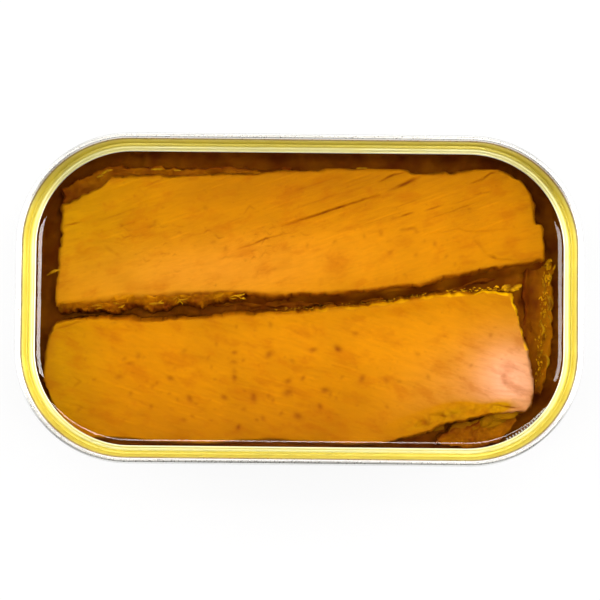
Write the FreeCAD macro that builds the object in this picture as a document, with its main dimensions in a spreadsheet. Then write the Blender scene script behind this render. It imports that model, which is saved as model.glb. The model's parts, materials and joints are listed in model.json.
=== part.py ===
import FreeCAD, Part
import math
import os

import Sketcher

# An opened rectangular club tin of tuna in oil, in millimetres.
# The origin is the middle of the footprint on the table, +X runs along the tin and +Z is up.
# Every size below becomes a named cell of the sheet, and every sketch and pad is tied to those cells.

SIZES = [
    # the tin over its double seam
    ("seam_length", 104.5, "seam, end to end"),
    ("seam_width", 60.9, "seam, front to back"),
    ("seam_corner", 20.9, "plan radius of the seam's outer face"),
    ("can_height", 28.5, "table to the top of the seam"),
    ("gauge", 0.2, "thickness of the sheet of body and end"),
    # the double seam
    ("seam_height", 2.8, "top of the seam to its lower edge"),
    ("seam_gap", 0.02, "play between two layers of the seam"),
    ("seam_round", 0.42, "radius over the top of the seam"),
    ("hook_play", 0.35, "free end of each hook to the bend in front of it"),
    # the bottom of the drawn body
    ("floor_radius", 2.5, "outer radius between wall and bottom"),
    ("standing_ring", 7.0, "seam's outer face to the step of the bottom panel"),
    ("panel_rise", 1.0, "height of the bottom panel over the standing ring"),
    ("panel_overlap", 1.6, "strip of the panel that is drawn with the step"),
    ("step_radius", 0.2, "inner radius of the bends at the step"),
    # what is left of the lid
    ("wall_taper", 0.35, "how far the chuck wall leans in on its way down"),
    ("ledge_depth", 3.7, "top of the seam to the top of the ledge"),
    ("groove_depth", 0.3, "ledge to the bottom of the countersink groove"),
    ("groove_width", 0.5, "countersink groove, across"),
    ("groove_radius", 0.12, "bends of the groove"),
    ("rim_width", 3.15, "seam's outer face to the torn edge of the ledge"),
    # the oil
    ("oil_depth", 4.45, "top of the seam to the oil"),
    ("fill_gap", 0.05, "clearance between the contents and the wall"),
    # the two fillets, by the room they leave to the wall and by the cut between them
    ("fillet_cover", 0.9, "oil over the fillets"),
    ("fillet_round", 0.8, "radius along the upper edges of a fillet"),
    ("back_left_room", 5.5, "left wall to the back fillet"),
    ("back_right_room", 5.2, "right wall to the back fillet"),
    ("back_side_room", 4.7, "back wall to the back fillet"),
    ("back_corner", 9.5, "slanted corners of the back fillet, along X"),
    ("back_corner_drop", 6.0, "slanted corners of the back fillet, along Y"),
    ("front_left_room", 4.0, "left wall to the front fillet"),
    ("front_right_room", 7.3, "right wall to the front fillet"),
    ("front_side_room", 0.6, "front wall to the front fillet"),
    ("front_heel", 10.2, "slanted foot of the front fillet at the left, along X"),
    ("front_trim", 19.0, "length of the trimmed corner at the front right"),
    ("front_trim_drop", 8.2, "width of the trimmed corner at the front right"),
    ("tail_slope", 3.4, "how far the right end of the front fillet leans out"),
    ("cut_left", -2.9, "middle of the cut at the left ends, along Y"),
    ("cut_middle", -0.4, "middle of the cut halfway along, along Y"),
    ("cut_right", 4.9, "middle of the cut at the right ends, along Y"),
    ("cut_width_left", 2.0, "gap of the cut at the left ends"),
    ("cut_width_middle", 3.2, "gap of the cut halfway along"),
    ("cut_width_right", 5.4, "gap of the cut at the right ends"),
    ("fillet_corner", 1.6, "plan radius of the corners of a fillet"),
    # the flakes beside and between the fillets
    ("flake_corner", 0.8, "plan radius of the corners of a flake"),
    ("flake_round", 0.4, "radius along the upper edges of a flake"),
    ("side_flake_cover", 3.6, "oil over the flake behind the back fillet"),
    ("side_flake_length", 44.0, "flake behind the back fillet, along X"),
    ("side_flake_width", 7.0, "flake behind the back fillet, along Y"),
    ("side_flake_room", 4.2, "back wall to that flake"),
    ("end_flake_cover", 4.6, "oil over the flake at the right end"),
    ("end_flake_room", 2.9, "right wall to that flake"),
    ("end_flake_length", 26.0, "flake at the right end, along Y"),
    ("end_flake_width", 6.5, "flake at the right end, along X"),
    ("end_flake_front", -17.5, "front end of that flake, along Y"),
    ("trim_flake_cover", 3.0, "oil over the flake at the front right"),
    ("trim_flake_room", 1.2, "front wall to that flake"),
    ("trim_flake_length", 19.0, "flake at the front right, along X"),
    ("trim_flake_width", 7.4, "flake at the front right, along Y"),
    ("trim_flake_right", 10.0, "right wall to that flake"),
    ("gap_flake_cover", 5.2, "oil over the flake in the cut"),
    ("gap_flake_start", -24.0, "left end of the flake in the cut, along X"),
    ("gap_flake_length", 62.0, "flake in the cut, along X"),
]

SHEET = "Sizes"
TOLERANCE = 1e-6
# inner radius of a seam fold, as a share of the room between the two layers it joins
FOLD = 0.4


class Size:
    """A length with its value now and the expression that ties it to the sheet."""

    def __init__(self, value, text):
        self.value = value
        self.text = text

    def __add__(self, other):
        return Size(self.value + other.value, f"{self.text} + {other.text}")

    def __sub__(self, other):
        return Size(self.value - other.value, f"{self.text} - ({other.text})")

    def __neg__(self):
        return Size(-self.value, f"-({self.text})")

    def __mul__(self, factor):
        return Size(self.value * factor, f"({self.text}) * {factor}")


VALUES = {alias: value for alias, value, note in SIZES}
NOTHING = Size(0.0, "0 mm")


def size(alias):
    """The named cell of the sheet."""
    return Size(VALUES[alias], f"{SHEET}.{alias} * 1 mm")


def fill_sheet(doc):
    """Write each size to a row: its name, its plain number under an alias, and what it is."""
    sheet = doc.addObject("Spreadsheet::Sheet", SHEET)
    for row, (alias, value, note) in enumerate(SIZES, start=1):
        sheet.set(f"A{row}", alias)
        sheet.set(f"B{row}", str(value))
        sheet.setAlias(f"B{row}", alias)
        sheet.set(f"C{row}", note)
    doc.recompute()


# ---------------------------------------------------------------- sketches


def new_body(doc, label):
    body = doc.addObject("PartDesign::Body", label)
    body.Label = label
    return body


def new_sketch(body, name, plane, height=None):
    """A sketch on one of the body's own origin planes, raised along the plane's normal."""
    sketch = body.newObject("Sketcher::SketchObject", name)
    support = [item for item in body.Origin.OriginFeatures if item.Role == plane][0]
    sketch.AttachmentSupport = [(support, "")]
    sketch.MapMode = "FlatFace"
    if height is not None:
        sketch.setExpression("AttachmentOffset.Base.z", height.text)
    body.Document.recompute()
    return sketch


def place(sketch, geometry, end, across, up):
    """Tie one point of the sketch to its two coordinates, or to an axis where one is zero."""
    for kind, length, axis in (("DistanceX", across, -2), ("DistanceY", up, -1)):
        if length is NOTHING:
            sketch.addConstraint(Sketcher.Constraint("PointOnObject", geometry, end, axis))
            continue
        index = sketch.addConstraint(Sketcher.Constraint(kind, -1, 1, geometry, end, length.value))
        sketch.setExpression(f"Constraints[{index}]", length.text)


def tangent_length(before, corner, after, radius):
    """Distance from a corner to where its rounding starts."""
    first = (before - corner).normalize()
    second = (after - corner).normalize()
    half_angle = first.getAngle(second) / 2
    return radius / math.tan(half_angle), first, second, half_angle


def rounding_arc(corner, radius, reach, first, second, half_angle):
    """The arc that rounds one corner, always counter-clockwise, as a sketch stores it."""
    middle = (first + second).normalize()
    centre = corner + middle * (radius / math.sin(half_angle))
    nearest = centre - middle * radius
    ends = [corner + first * reach, corner + second * reach]
    if second.cross(first).z < 0:
        ends.reverse()
    return Part.Arc(ends[0], nearest, ends[1])


def draw_loop(sketch, corners):
    """Draw a closed loop of lines, each corner an (across, up, radius or None) triple of Sizes.

    A rounded corner keeps its sharp point as construction geometry, tied to the sheet,
    and its arc is tangent to both sides.
    """
    points = [FreeCAD.Vector(across.value, up.value, 0) for across, up, radius in corners]
    count = len(corners)
    starts = list(points)
    ends = list(points)
    arcs = {}
    for index, (across, up, radius) in enumerate(corners):
        if radius is None:
            continue
        before = points[index - 1]
        after = points[(index + 1) % count]
        reach, first, second, half = tangent_length(before, points[index], after, radius.value)
        arc = rounding_arc(points[index], radius.value, reach, first, second, half)
        arcs[index] = (arc, radius)
        ends[index] = points[index] + first * reach
        starts[index] = points[index] + second * reach
    lines = []
    for index in range(count):
        segment = Part.LineSegment(starts[index], ends[(index + 1) % count])
        lines.append(sketch.addGeometry(segment, False))
    for index, (across, up, radius) in enumerate(corners):
        incoming = lines[index - 1]
        outgoing = lines[index]
        if radius is None:
            sketch.addConstraint(Sketcher.Constraint("Coincident", incoming, 2, outgoing, 1))
            place(sketch, outgoing, 1, across, up)
            continue
        round_corner(sketch, incoming, outgoing, points[index], corners[index], arcs[index][0])


def round_corner(sketch, incoming, outgoing, point, corner, arc):
    """Add the arc of one corner, its construction point and their constraints."""
    across, up, radius = corner
    sharp = sketch.addGeometry(Part.Point(point), True)
    sketch.addConstraint(Sketcher.Constraint("PointOnObject", sharp, 1, incoming))
    sketch.addConstraint(Sketcher.Constraint("PointOnObject", sharp, 1, outgoing))
    place(sketch, sharp, 1, across, up)
    bend = sketch.addGeometry(arc, False)
    # the side before the corner meets either end of the arc, depending on the way it turns
    line_end = sketch.Geometry[incoming].EndPoint
    first_end = 1 if sketch.Geometry[bend].StartPoint.distanceToPoint(line_end) < TOLERANCE else 2
    sketch.addConstraint(Sketcher.Constraint("Tangent", incoming, 2, bend, first_end))
    sketch.addConstraint(Sketcher.Constraint("Tangent", outgoing, 1, bend, 3 - first_end))
    index = sketch.addConstraint(Sketcher.Constraint("Radius", bend, radius.value))
    sketch.setExpression(f"Constraints[{index}]", radius.text)


def draw_rounded_rectangle(sketch, inset):
    """The plan of the tin, moved in from the seam's outer face."""
    half_length = size("seam_length") * 0.5 - inset
    half_width = size("seam_width") * 0.5 - inset
    radius = size("seam_corner") - inset
    draw_loop(sketch, [
        (half_length, -half_width, radius),
        (half_length, half_width, radius),
        (-half_length, half_width, radius),
        (-half_length, -half_width, radius),
    ])


def draw_section(sketch, corners):
    """A section of sheet at the right end of the tin: corners by inset, height and radius."""
    half_length = size("seam_length") * 0.5
    draw_loop(sketch, [(half_length - inset, height, radius) for inset, height, radius in corners])


# ---------------------------------------------------------------- features


def add_pad(body, sketch, length):
    pad = body.newObject("PartDesign::Pad", sketch.Name + "Pad")
    pad.Profile = sketch
    pad.setExpression("Length", length.text)
    body.Document.recompute()
    return pad


def add_sweep(body, section, spine):
    """Sweep a section once round the tin."""
    pipe = body.newObject("PartDesign::AdditivePipe", section.Name + "Sweep")
    pipe.Profile = section
    pipe.Spine = spine
    body.Document.recompute()
    return pipe


def add_fillet(body, feature, radius, picks):
    """Round the edges of the feature that the test picks."""
    names = [f"Edge{index}" for index, edge in enumerate(feature.Shape.Edges, start=1) if picks(edge)]
    fillet = body.newObject("PartDesign::Fillet", feature.Name + "Round")
    fillet.Base = (feature, names)
    fillet.setExpression("Radius", radius.text)
    body.Document.recompute()
    return fillet


def lies_at(edge, height):
    """Whether a whole edge lies at one height."""
    box = edge.BoundBox
    return abs(box.ZMin - height) < TOLERANCE and abs(box.ZMax - height) < TOLERANCE


def combine(doc, kind, label, base, tool):
    """A boolean of two shapes of the document."""
    result = doc.addObject(kind, label)
    result.Label = label
    result.Base = base
    result.Tool = tool
    doc.recompute()
    return result


# ---------------------------------------------------------------- the tin


def layer(count):
    """Inset of the outer face of a layer of the seam, counted from the outside at 0."""
    step = size("gauge") + size("seam_gap")
    return step * count


def can_body(doc):
    """The drawn body: hook, wall, bottom radius, standing ring and raised panel."""
    gauge = size("gauge")
    hook_outer = layer(1)
    hook_inner = layer(1) + gauge
    wall_outer = layer(3)
    wall_inner = layer(3) + gauge
    crown = size("can_height") - gauge - size("seam_gap")
    hook_end = size("can_height") - size("seam_height") + gauge + size("hook_play")
    fold_inner = (wall_outer - hook_inner) * FOLD
    fold_outer = fold_inner + gauge
    floor_outer = size("floor_radius")
    floor_inner = size("floor_radius") - gauge
    step = size("standing_ring")
    rise = size("panel_rise")
    bend_inner = size("step_radius")
    bend_outer = size("step_radius") + gauge
    panel_edge = size("standing_ring") + size("panel_overlap")

    body = new_body(doc, "can_body")
    spine = new_sketch(body, "BodyPlan", "XY_Plane")
    draw_rounded_rectangle(spine, NOTHING)
    section = new_sketch(body, "BodySection", "XZ_Plane")
    draw_section(section, [
        (hook_outer, hook_end, None),
        (hook_outer, crown, fold_outer),
        (wall_inner, crown, fold_outer),
        (wall_inner, gauge, floor_inner),
        (step - gauge, gauge, bend_inner),
        (step - gauge, rise + gauge, bend_outer),
        (panel_edge, rise + gauge, None),
        (panel_edge, rise, None),
        (step, rise, bend_inner),
        (step, NOTHING, bend_outer),
        (wall_outer, NOTHING, floor_outer),
        (wall_outer, crown - gauge, fold_inner),
        (hook_inner, crown - gauge, fold_inner),
        (hook_inner, hook_end, None),
    ])
    add_sweep(body, section, spine)
    plate = new_sketch(body, "PanelPlan", "XY_Plane", rise)
    draw_rounded_rectangle(plate, size("standing_ring") + size("panel_overlap") * 0.5)
    add_pad(body, plate, gauge)
    return body


def end_ring(doc):
    """What is left of the lid: double seam, chuck wall, groove and torn ledge."""
    gauge = size("gauge")
    top = size("can_height")
    hem = size("can_height") - size("seam_height")
    hook_outer = layer(2)
    hook_inner = layer(2) + gauge
    hook_end = top - gauge - gauge - size("seam_gap") - size("hook_play")
    chuck_outer = layer(4)
    chuck_inner = layer(4) + gauge
    fold_inner = (hook_outer - gauge) * FOLD
    fold_outer = fold_inner + gauge
    crown_outer = size("seam_round")
    crown_inner = size("seam_round") - gauge
    taper = size("wall_taper")
    ledge = top - size("ledge_depth")
    groove = ledge - size("groove_depth")
    groove_start = chuck_inner + taper
    groove_stop = groove_start + size("groove_width")
    bend_inner = size("groove_radius")
    bend_outer = size("groove_radius") + gauge
    torn_edge = size("rim_width")

    body = new_body(doc, "end_ring")
    spine = new_sketch(body, "RingPlan", "XY_Plane")
    draw_rounded_rectangle(spine, NOTHING)
    section = new_sketch(body, "RingSection", "XZ_Plane")
    draw_section(section, [
        (hook_inner, hook_end, None),
        (hook_inner, hem, fold_outer),
        (NOTHING, hem, fold_outer),
        (NOTHING, top, crown_outer),
        (chuck_inner, top, crown_outer),
        (groove_start, groove, bend_inner),
        (groove_stop, groove, bend_inner),
        (groove_stop, ledge, bend_outer),
        (torn_edge, ledge, None),
        (torn_edge, ledge - gauge, None),
        (groove_stop + gauge, ledge - gauge, bend_inner),
        (groove_stop + gauge, groove - gauge, bend_outer),
        (groove_start - gauge, groove - gauge, bend_outer),
        (chuck_outer, top - gauge, crown_inner),
        (gauge, top - gauge, crown_inner),
        (gauge, hem + gauge, fold_inner),
        (hook_outer, hem + gauge, fold_inner),
        (hook_outer, hook_end, None),
    ])
    add_sweep(body, section, spine)
    return body


# ---------------------------------------------------------------- the contents


def wall_line():
    """Inset of the inner face of the body wall, with the clearance of the contents."""
    return layer(3) + size("gauge") + size("fill_gap")


def oil_level():
    return size("can_height") - size("oil_depth")


def cavity(doc):
    """The room that oil and fish fill together, from the bottom sheet up to the oil level."""
    gauge = size("gauge")
    body = new_body(doc, "cavity")
    plan = new_sketch(body, "CavityPlan", "XY_Plane", gauge)
    draw_rounded_rectangle(plan, wall_line())
    pad = add_pad(body, plan, oil_level() - gauge)
    add_fillet(body, pad, size("floor_radius") - gauge, lambda edge: lies_at(edge, gauge.value))
    step = new_sketch(body, "StepPlan", "XY_Plane", gauge + size("panel_rise"))
    draw_rounded_rectangle(step, size("standing_ring") - gauge - size("step_radius"))
    pocket = body.newObject("PartDesign::Pocket", "StepPocket")
    pocket.Profile = step
    pocket.setExpression("Length", (gauge + size("panel_rise")).text)
    doc.recompute()
    return body


def blank(doc, label, corners, cover, corner_radius, edge_radius):
    """A flat piece of fish by its outline, standing on the bottom, before it is fitted in."""
    body = new_body(doc, label + "_blank")
    plan = new_sketch(body, label.title().replace("_", "") + "Plan", "XY_Plane")
    draw_loop(plan, [(across, along, corner_radius) for across, along in corners])
    crown = oil_level() - size(cover)
    pad = add_pad(body, plan, crown)
    add_fillet(body, pad, edge_radius, lambda edge: lies_at(edge, crown.value))
    return body


def walls():
    """Inner faces of the body wall: right (along X) and back (along Y)."""
    right = size("seam_length") * 0.5 - wall_line()
    back = size("seam_width") * 0.5 - wall_line()
    return right, back


def back_fillet_outline():
    """Its front edge follows the cut, and its left and right back corners are slanted."""
    knee = 0.3
    right, back = walls()
    left_end = size("back_left_room") - right
    right_end = right - size("back_right_room")
    back_edge = back - size("back_side_room")
    slant = size("back_corner")
    drop = size("back_corner_drop")
    right_front = size("cut_right") + size("cut_width_right") * 0.5
    return [
        (left_end, size("cut_left") + size("cut_width_left") * 0.5),
        (NOTHING, size("cut_middle") + size("cut_width_middle") * 0.5),
        (right_end, right_front),
        (right_end, right_front + (back_edge - right_front) * knee),
        (right_end - slant * knee, back_edge - drop * knee),
        (right_end - slant, back_edge),
        (NOTHING, back_edge),
        (left_end + slant, back_edge - drop * knee),
        (left_end, back_edge - drop - drop * knee),
    ]


def front_fillet_outline():
    """Its back edge follows the cut, and the front right corner is trimmed."""
    belly = 0.4
    heel = 0.8
    right, back = walls()
    left_end = size("front_left_room") - right
    right_end = right - size("front_right_room")
    front_edge = size("front_side_room") - back
    lean = size("tail_slope")
    trim = size("front_trim")
    trim_drop = size("front_trim_drop")
    return [
        (left_end, size("cut_left") - size("cut_width_left") * 0.5),
        (left_end - lean * (1 - heel), front_edge * belly),
        (left_end + lean, front_edge * heel),
        (left_end + lean + size("front_heel"), front_edge),
        (right_end - trim, front_edge),
        (right_end - trim * 0.5, front_edge + trim_drop * heel),
        (right_end - lean * (1 - heel), front_edge + trim_drop),
        (right_end, front_edge * belly),
        (right_end - lean, size("cut_right") - size("cut_width_right") * 0.5),
        (NOTHING, size("cut_middle") - size("cut_width_middle") * 0.5),
    ]


def side_flake_outline():
    """A strip behind the left half of the back fillet, partly under its edge."""
    blunt_end = 0.3
    right, back = walls()
    left_end = size("back_left_room") - right
    back_edge = back - size("side_flake_room")
    width = size("side_flake_width")
    length = size("side_flake_length")
    return [
        (left_end, back_edge - width - width * blunt_end),
        (left_end + length, back_edge - width * blunt_end),
        (left_end + length, back_edge),
        (left_end + length * blunt_end, back_edge),
        (left_end, back_edge - width * 0.5),
    ]


def end_flake_outline():
    """A strip across the right end, beside both fillets."""
    taper = 0.4
    right, back = walls()
    outer = right - size("end_flake_room")
    width = size("end_flake_width")
    front = size("end_flake_front")
    length = size("end_flake_length")
    return [
        (outer - width, front),
        (outer - width * taper, front),
        (outer, front + length * taper),
        (outer, front + length),
        (outer - width, front + length),
    ]


def trim_flake_outline():
    """A scrap in the trimmed corner of the front fillet."""
    taper = 0.4
    right, back = walls()
    right_end = right - size("trim_flake_right")
    front = size("trim_flake_room") - back
    length = size("trim_flake_length")
    width = size("trim_flake_width")
    return [
        (right_end - length, front),
        (right_end - length * taper, front),
        (right_end, front + width * 0.5),
        (right_end, front + width),
        (right_end - length, front + width),
    ]


def gap_flake_outline():
    """A long flake that lies in the cut and reaches past both of its sides."""
    bend = 0.4
    reach = 0.6
    start = size("gap_flake_start")
    length = size("gap_flake_length")
    middle = size("cut_middle")
    width = size("cut_width_middle")
    right = size("cut_right")
    wide = size("cut_width_right")
    return [
        (start, middle - width * reach),
        (start + length * bend, middle - width * reach),
        (start + length, right - wide * reach),
        (start + length, right + wide * reach),
        (start + length * bend, middle + width * reach),
        (start, middle + width * (1 - reach)),
    ]


def contents(doc):
    """The two fillets, the flakes fitted round them, and the oil round it all."""
    room = cavity(doc)
    fillets = []
    for label, outline in (("fillet_back", back_fillet_outline()), ("fillet_front", front_fillet_outline())):
        piece = blank(doc, label, outline, "fillet_cover", size("fillet_corner"), size("fillet_round"))
        fillets.append(combine(doc, "Part::Common", label, piece, room))
    both = join(doc, "fillets", fillets)
    flakes = []
    for label, outline, cover in (
        ("flake_side", side_flake_outline(), "side_flake_cover"),
        ("flake_end", end_flake_outline(), "end_flake_cover"),
        ("flake_trim", trim_flake_outline(), "trim_flake_cover"),
        ("flake_gap", gap_flake_outline(), "gap_flake_cover"),
    ):
        piece = blank(doc, label, outline, cover, size("flake_corner"), size("flake_round"))
        fitted = combine(doc, "Part::Common", label + "_fitted", piece, room)
        flakes.append(combine(doc, "Part::Cut", label, fitted, both))
    fish = join(doc, "fish", fillets + flakes)
    oil = combine(doc, "Part::Cut", "oil", room, fish)
    return fillets + flakes + [oil]


def join(doc, label, pieces):
    """All the pieces as one shape, used only as a cutter."""
    union = doc.addObject("Part::MultiFuse", label)
    union.Label = label
    union.Shapes = pieces
    doc.recompute()
    return union


# ---------------------------------------------------------------- the document


def check(doc, pieces):
    """Stop before anything is written if an object failed or a piece isn't one sound solid."""
    for item in doc.Objects:
        if "Invalid" in item.State or "Error" in item.State:
            raise RuntimeError(f"{item.Label} failed: {item.State}")
    for piece in pieces:
        if piece.Shape.isNull() or not piece.Shape.isValid():
            raise RuntimeError(f"{piece.Label} has no valid shape")
        if len(piece.Shape.Solids) != 1:
            raise RuntimeError(f"{piece.Label} has {len(piece.Shape.Solids)} solids")


def main():
    doc = FreeCAD.newDocument("tuna_tin")
    fill_sheet(doc)
    pieces = [can_body(doc), end_ring(doc)] + contents(doc)
    doc.recompute()
    check(doc, pieces)
    os.makedirs("parts", exist_ok=True)
    for piece in pieces:
        piece.Shape.exportStep(f"parts/{piece.Label}.step")
        box = piece.Shape.BoundBox
        print(piece.Label, round(piece.Shape.Volume, 1), box)


main()
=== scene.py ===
"""An opened rectangular tin of tuna in oil: drawn body, seamed rim of the lid, fish and amber oil."""

import json
import math

import bpy
import numpy as np
from bpy.props import FloatProperty, FloatVectorProperty, IntProperty, PointerProperty
from mathutils import Matrix, Vector

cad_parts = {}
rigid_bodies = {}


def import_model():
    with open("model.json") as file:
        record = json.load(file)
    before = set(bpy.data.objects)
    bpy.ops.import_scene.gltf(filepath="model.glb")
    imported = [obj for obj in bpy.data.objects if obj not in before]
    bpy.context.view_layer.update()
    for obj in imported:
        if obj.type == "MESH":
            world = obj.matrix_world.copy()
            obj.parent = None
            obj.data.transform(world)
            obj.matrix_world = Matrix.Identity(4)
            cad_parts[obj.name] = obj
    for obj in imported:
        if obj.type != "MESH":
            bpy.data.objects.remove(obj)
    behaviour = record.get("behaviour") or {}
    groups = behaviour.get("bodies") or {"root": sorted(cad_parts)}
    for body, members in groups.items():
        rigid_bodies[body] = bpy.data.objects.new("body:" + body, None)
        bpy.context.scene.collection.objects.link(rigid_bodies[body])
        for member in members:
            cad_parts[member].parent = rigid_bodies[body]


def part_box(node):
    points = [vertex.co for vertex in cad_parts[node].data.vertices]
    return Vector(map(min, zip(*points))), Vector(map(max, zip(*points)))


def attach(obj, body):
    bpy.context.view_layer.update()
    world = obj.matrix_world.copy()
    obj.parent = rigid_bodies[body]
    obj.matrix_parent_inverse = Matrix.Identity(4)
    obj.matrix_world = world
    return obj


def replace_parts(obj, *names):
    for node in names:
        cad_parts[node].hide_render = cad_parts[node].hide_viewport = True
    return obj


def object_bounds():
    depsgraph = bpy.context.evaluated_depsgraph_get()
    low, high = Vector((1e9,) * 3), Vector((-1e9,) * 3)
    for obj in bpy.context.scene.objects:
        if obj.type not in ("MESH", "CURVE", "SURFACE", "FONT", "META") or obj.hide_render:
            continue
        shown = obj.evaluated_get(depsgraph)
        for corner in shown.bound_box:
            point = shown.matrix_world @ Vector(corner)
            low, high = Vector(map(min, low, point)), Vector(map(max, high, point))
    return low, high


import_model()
cad_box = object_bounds()

bl_info = {
    "name": "Tin of tuna in oil",
    "version": (1, 0, 0),
    "blender": (4, 5, 0),
    "location": "View3D > Sidebar > Tuna tin",
    "description": "Builds an opened club tin with its fillets, flakes and oil over the packed model",
    "category": "Object",
}

MM = 0.001
# how far in from the seam's outer face the fish ends
FISH_INSET = 1.0 * MM
# what each fillet and flake stores for its material, from 0 to 1; the light and gold marks are painted light,
# and the mark for pits, edges and sides is painted shade with some browner flesh
MARKS = ("light", "olive", "pink", "hollow", "streak", "gold")
# how bright the room is towards the horizon, where 1 is white
STUDIO = 0.44
# soft lights of the room: degrees from straight up, degrees round from the back, brightness
SOFT_LIGHTS = ((52, 0, 1.55), (52, -80, 3.55), (52, 80, 3.7), (58, 180, 1.1))
# strips higher up: name, degrees from straight up, degrees round from the back, distance, size, brightness
STRIPS = (
    ("left strip", 15.2, -82, 1.6, (0.23, 0.24), 10.0),
    ("right strip", 15.2, 82, 1.6, (0.23, 0.24), 14.5),
    ("back strip", 16, 0, 0.6, (0.30, 0.02), 12.0),
)


def aim(tilt, turn):
    """A direction, from its degrees from straight up and its degrees round from the back."""
    lean = math.radians(tilt)
    heading = math.radians(turn)
    return Vector((math.sin(lean) * math.sin(heading), math.sin(lean) * math.cos(heading), math.cos(lean)))


def linear(hex_colour):
    """A colour written as sRGB hex, as the linear numbers that shaders use."""
    channels = [int(hex_colour[i:i + 2], 16) / 255 for i in (0, 2, 4)]
    return tuple(c / 12.92 if c <= 0.04045 else ((c + 0.055) / 1.055) ** 2.4 for c in channels)


def length(name, description, default):
    """A length in metres, given in millimetres."""
    return FloatProperty(name=name, description=description, default=default * MM, unit="LENGTH", precision=5)


def colour(name, description, hex_colour):
    """A colour that the user can change, given as sRGB hex."""
    return FloatVectorProperty(name=name, description=description, subtype="COLOR", size=3,
                               min=0, max=1, default=linear(hex_colour))


# ---------------------------------------------------------------- settings


class TinSettings(bpy.types.PropertyGroup):
    gauge: length("Gauge", "Thickness of the sheet", 0.2)
    corner: length("Corner", "Plan radius of the seam's outer face", 20.9)
    seam_gap: length("Seam play", "Play between two layers of the seam", 0.02)
    seam_height: length("Seam height", "Top of the seam to its lower edge", 2.8)
    crown: length("Seam crown", "Radius over the top of the seam", 0.42)
    floor_radius: length("Bottom radius", "Outer radius between wall and bottom", 2.5)
    standing_ring: length("Standing ring", "Seam's outer face to the step of the bottom", 7.0)
    panel_rise: length("Panel rise", "Height of the bottom panel over the standing ring", 1.0)
    taper: length("Chuck wall taper", "How far the chuck wall leans in", 0.35)
    ledge_depth: length("Ledge depth", "Top of the seam to the ledge", 3.7)
    groove_depth: length("Groove depth", "Ledge to the bottom of the groove", 0.3)
    groove_width: length("Groove width", "Countersink groove, across", 0.5)
    rim_width: length("Rim width", "Seam's outer face to the torn edge", 3.03)
    metal: colour("Aluminium", "Bare drawn sheet", "E6E6E3")
    lacquer: colour("Lacquer", "Gold lacquer of the end", "F9F5B6")


class FishSettings(bpy.types.PropertyGroup):
    seed: IntProperty(name="Seed", description="Seed of every uneven form of the fish", default=7)
    fibre: length("Fibre", "Width of one muscle fibre bundle", 0.55)
    flesh: colour("Flesh", "Cooked loin through a thin layer of oil", "CE8F02")
    # painted light: the light flesh is mixed in for highlights on raised fibres and for brighter lit patches
    flesh_light: colour("Light flesh", "Flesh close under the oil", "D89808")
    flesh_olive: colour("Olive flesh", "Yellower flesh at the left ends", "CC9F01")
    flesh_pink: colour("Pink flesh", "Paler flesh that nearly breaks the oil", "F8C2AE")
    # painted light: the yellow glow of thin flesh and crumbs that light shines through
    crumb: colour("Crumbs", "Loose golden crumbs and threads", "FFD002")
    # brown flesh, and also the colour of the painted shade on the fish
    brown_and_shade: colour("Brown flesh", "Pits, cracks and sunk edges", "8A480C")


class OilSettings(bpy.types.PropertyGroup):
    meniscus: length("Meniscus", "Reach of the oil that climbs to the metal", 1.88)
    amber: colour("Oil", "Colour of the oil in a thin layer", "FFF0C4")
    absorb: colour("Deep oil", "Colour that light keeps on its way through the oil", "DD9559")
    density: FloatProperty(name="Depth", description="How fast the oil darkens with depth", default=28.0)


# ---------------------------------------------------------------- forms from numbers


def lattice_noise(x, y, seed):
    """Smooth noise in -1..1 over a unit lattice, the same for the same seed."""
    column = np.floor(x).astype(np.int64)
    row = np.floor(y).astype(np.int64)
    across = x - column
    along = y - row
    across = across * across * (3 - 2 * across)
    along = along * along * (3 - 2 * along)

    def corner(i, j):
        mixed = (column + i) * 374761393 + (row + j) * 668265263 + seed * 1442695041
        mixed = (mixed ^ (mixed >> 13)) * 1274126177
        return ((mixed ^ (mixed >> 16)) & 0xFFFF) / 32767.5 - 1

    near = corner(0, 0) * (1 - across) + corner(1, 0) * across
    far = corner(0, 1) * (1 - across) + corner(1, 1) * across
    return near * (1 - along) + far * along


def uneven(x, y, size, seed, octaves=3):
    """Several layers of noise, the largest with lumps of the given size."""
    total = 0
    for octave in range(octaves):
        factor = 2 ** octave
        total = total + lattice_noise(x / size * factor, y / size * factor, seed + octave) / factor
    return total


def grain(x, y, angle, along, across, seed):
    """Noise stretched along a direction in plan: fibres of the given length and width."""
    turn = math.radians(angle)
    forward = x * math.cos(turn) + y * math.sin(turn)
    sideways = y * math.cos(turn) - x * math.sin(turn)
    sideways = sideways + uneven(forward, sideways, along * 0.6, seed + 40, 2) * across * 1.2
    return lattice_noise(forward / along, sideways / across, seed)


def smooth_step(value, start, stop):
    """0 before the start, 1 after the stop, and a soft rise between."""
    share = np.clip((value - start) / (stop - start), 0, 1)
    return share * share * (3 - 2 * share)


def patch(x, y, centre, reach, angle=0.0):
    """A soft round or oval patch that is 1 in its middle."""
    turn = math.radians(angle)
    right = (x - centre[0]) * math.cos(turn) + (y - centre[1]) * math.sin(turn)
    up = (y - centre[1]) * math.cos(turn) - (x - centre[0]) * math.sin(turn)
    return np.exp(-(right / reach[0]) ** 2 - (up / reach[1]) ** 2)


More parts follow.
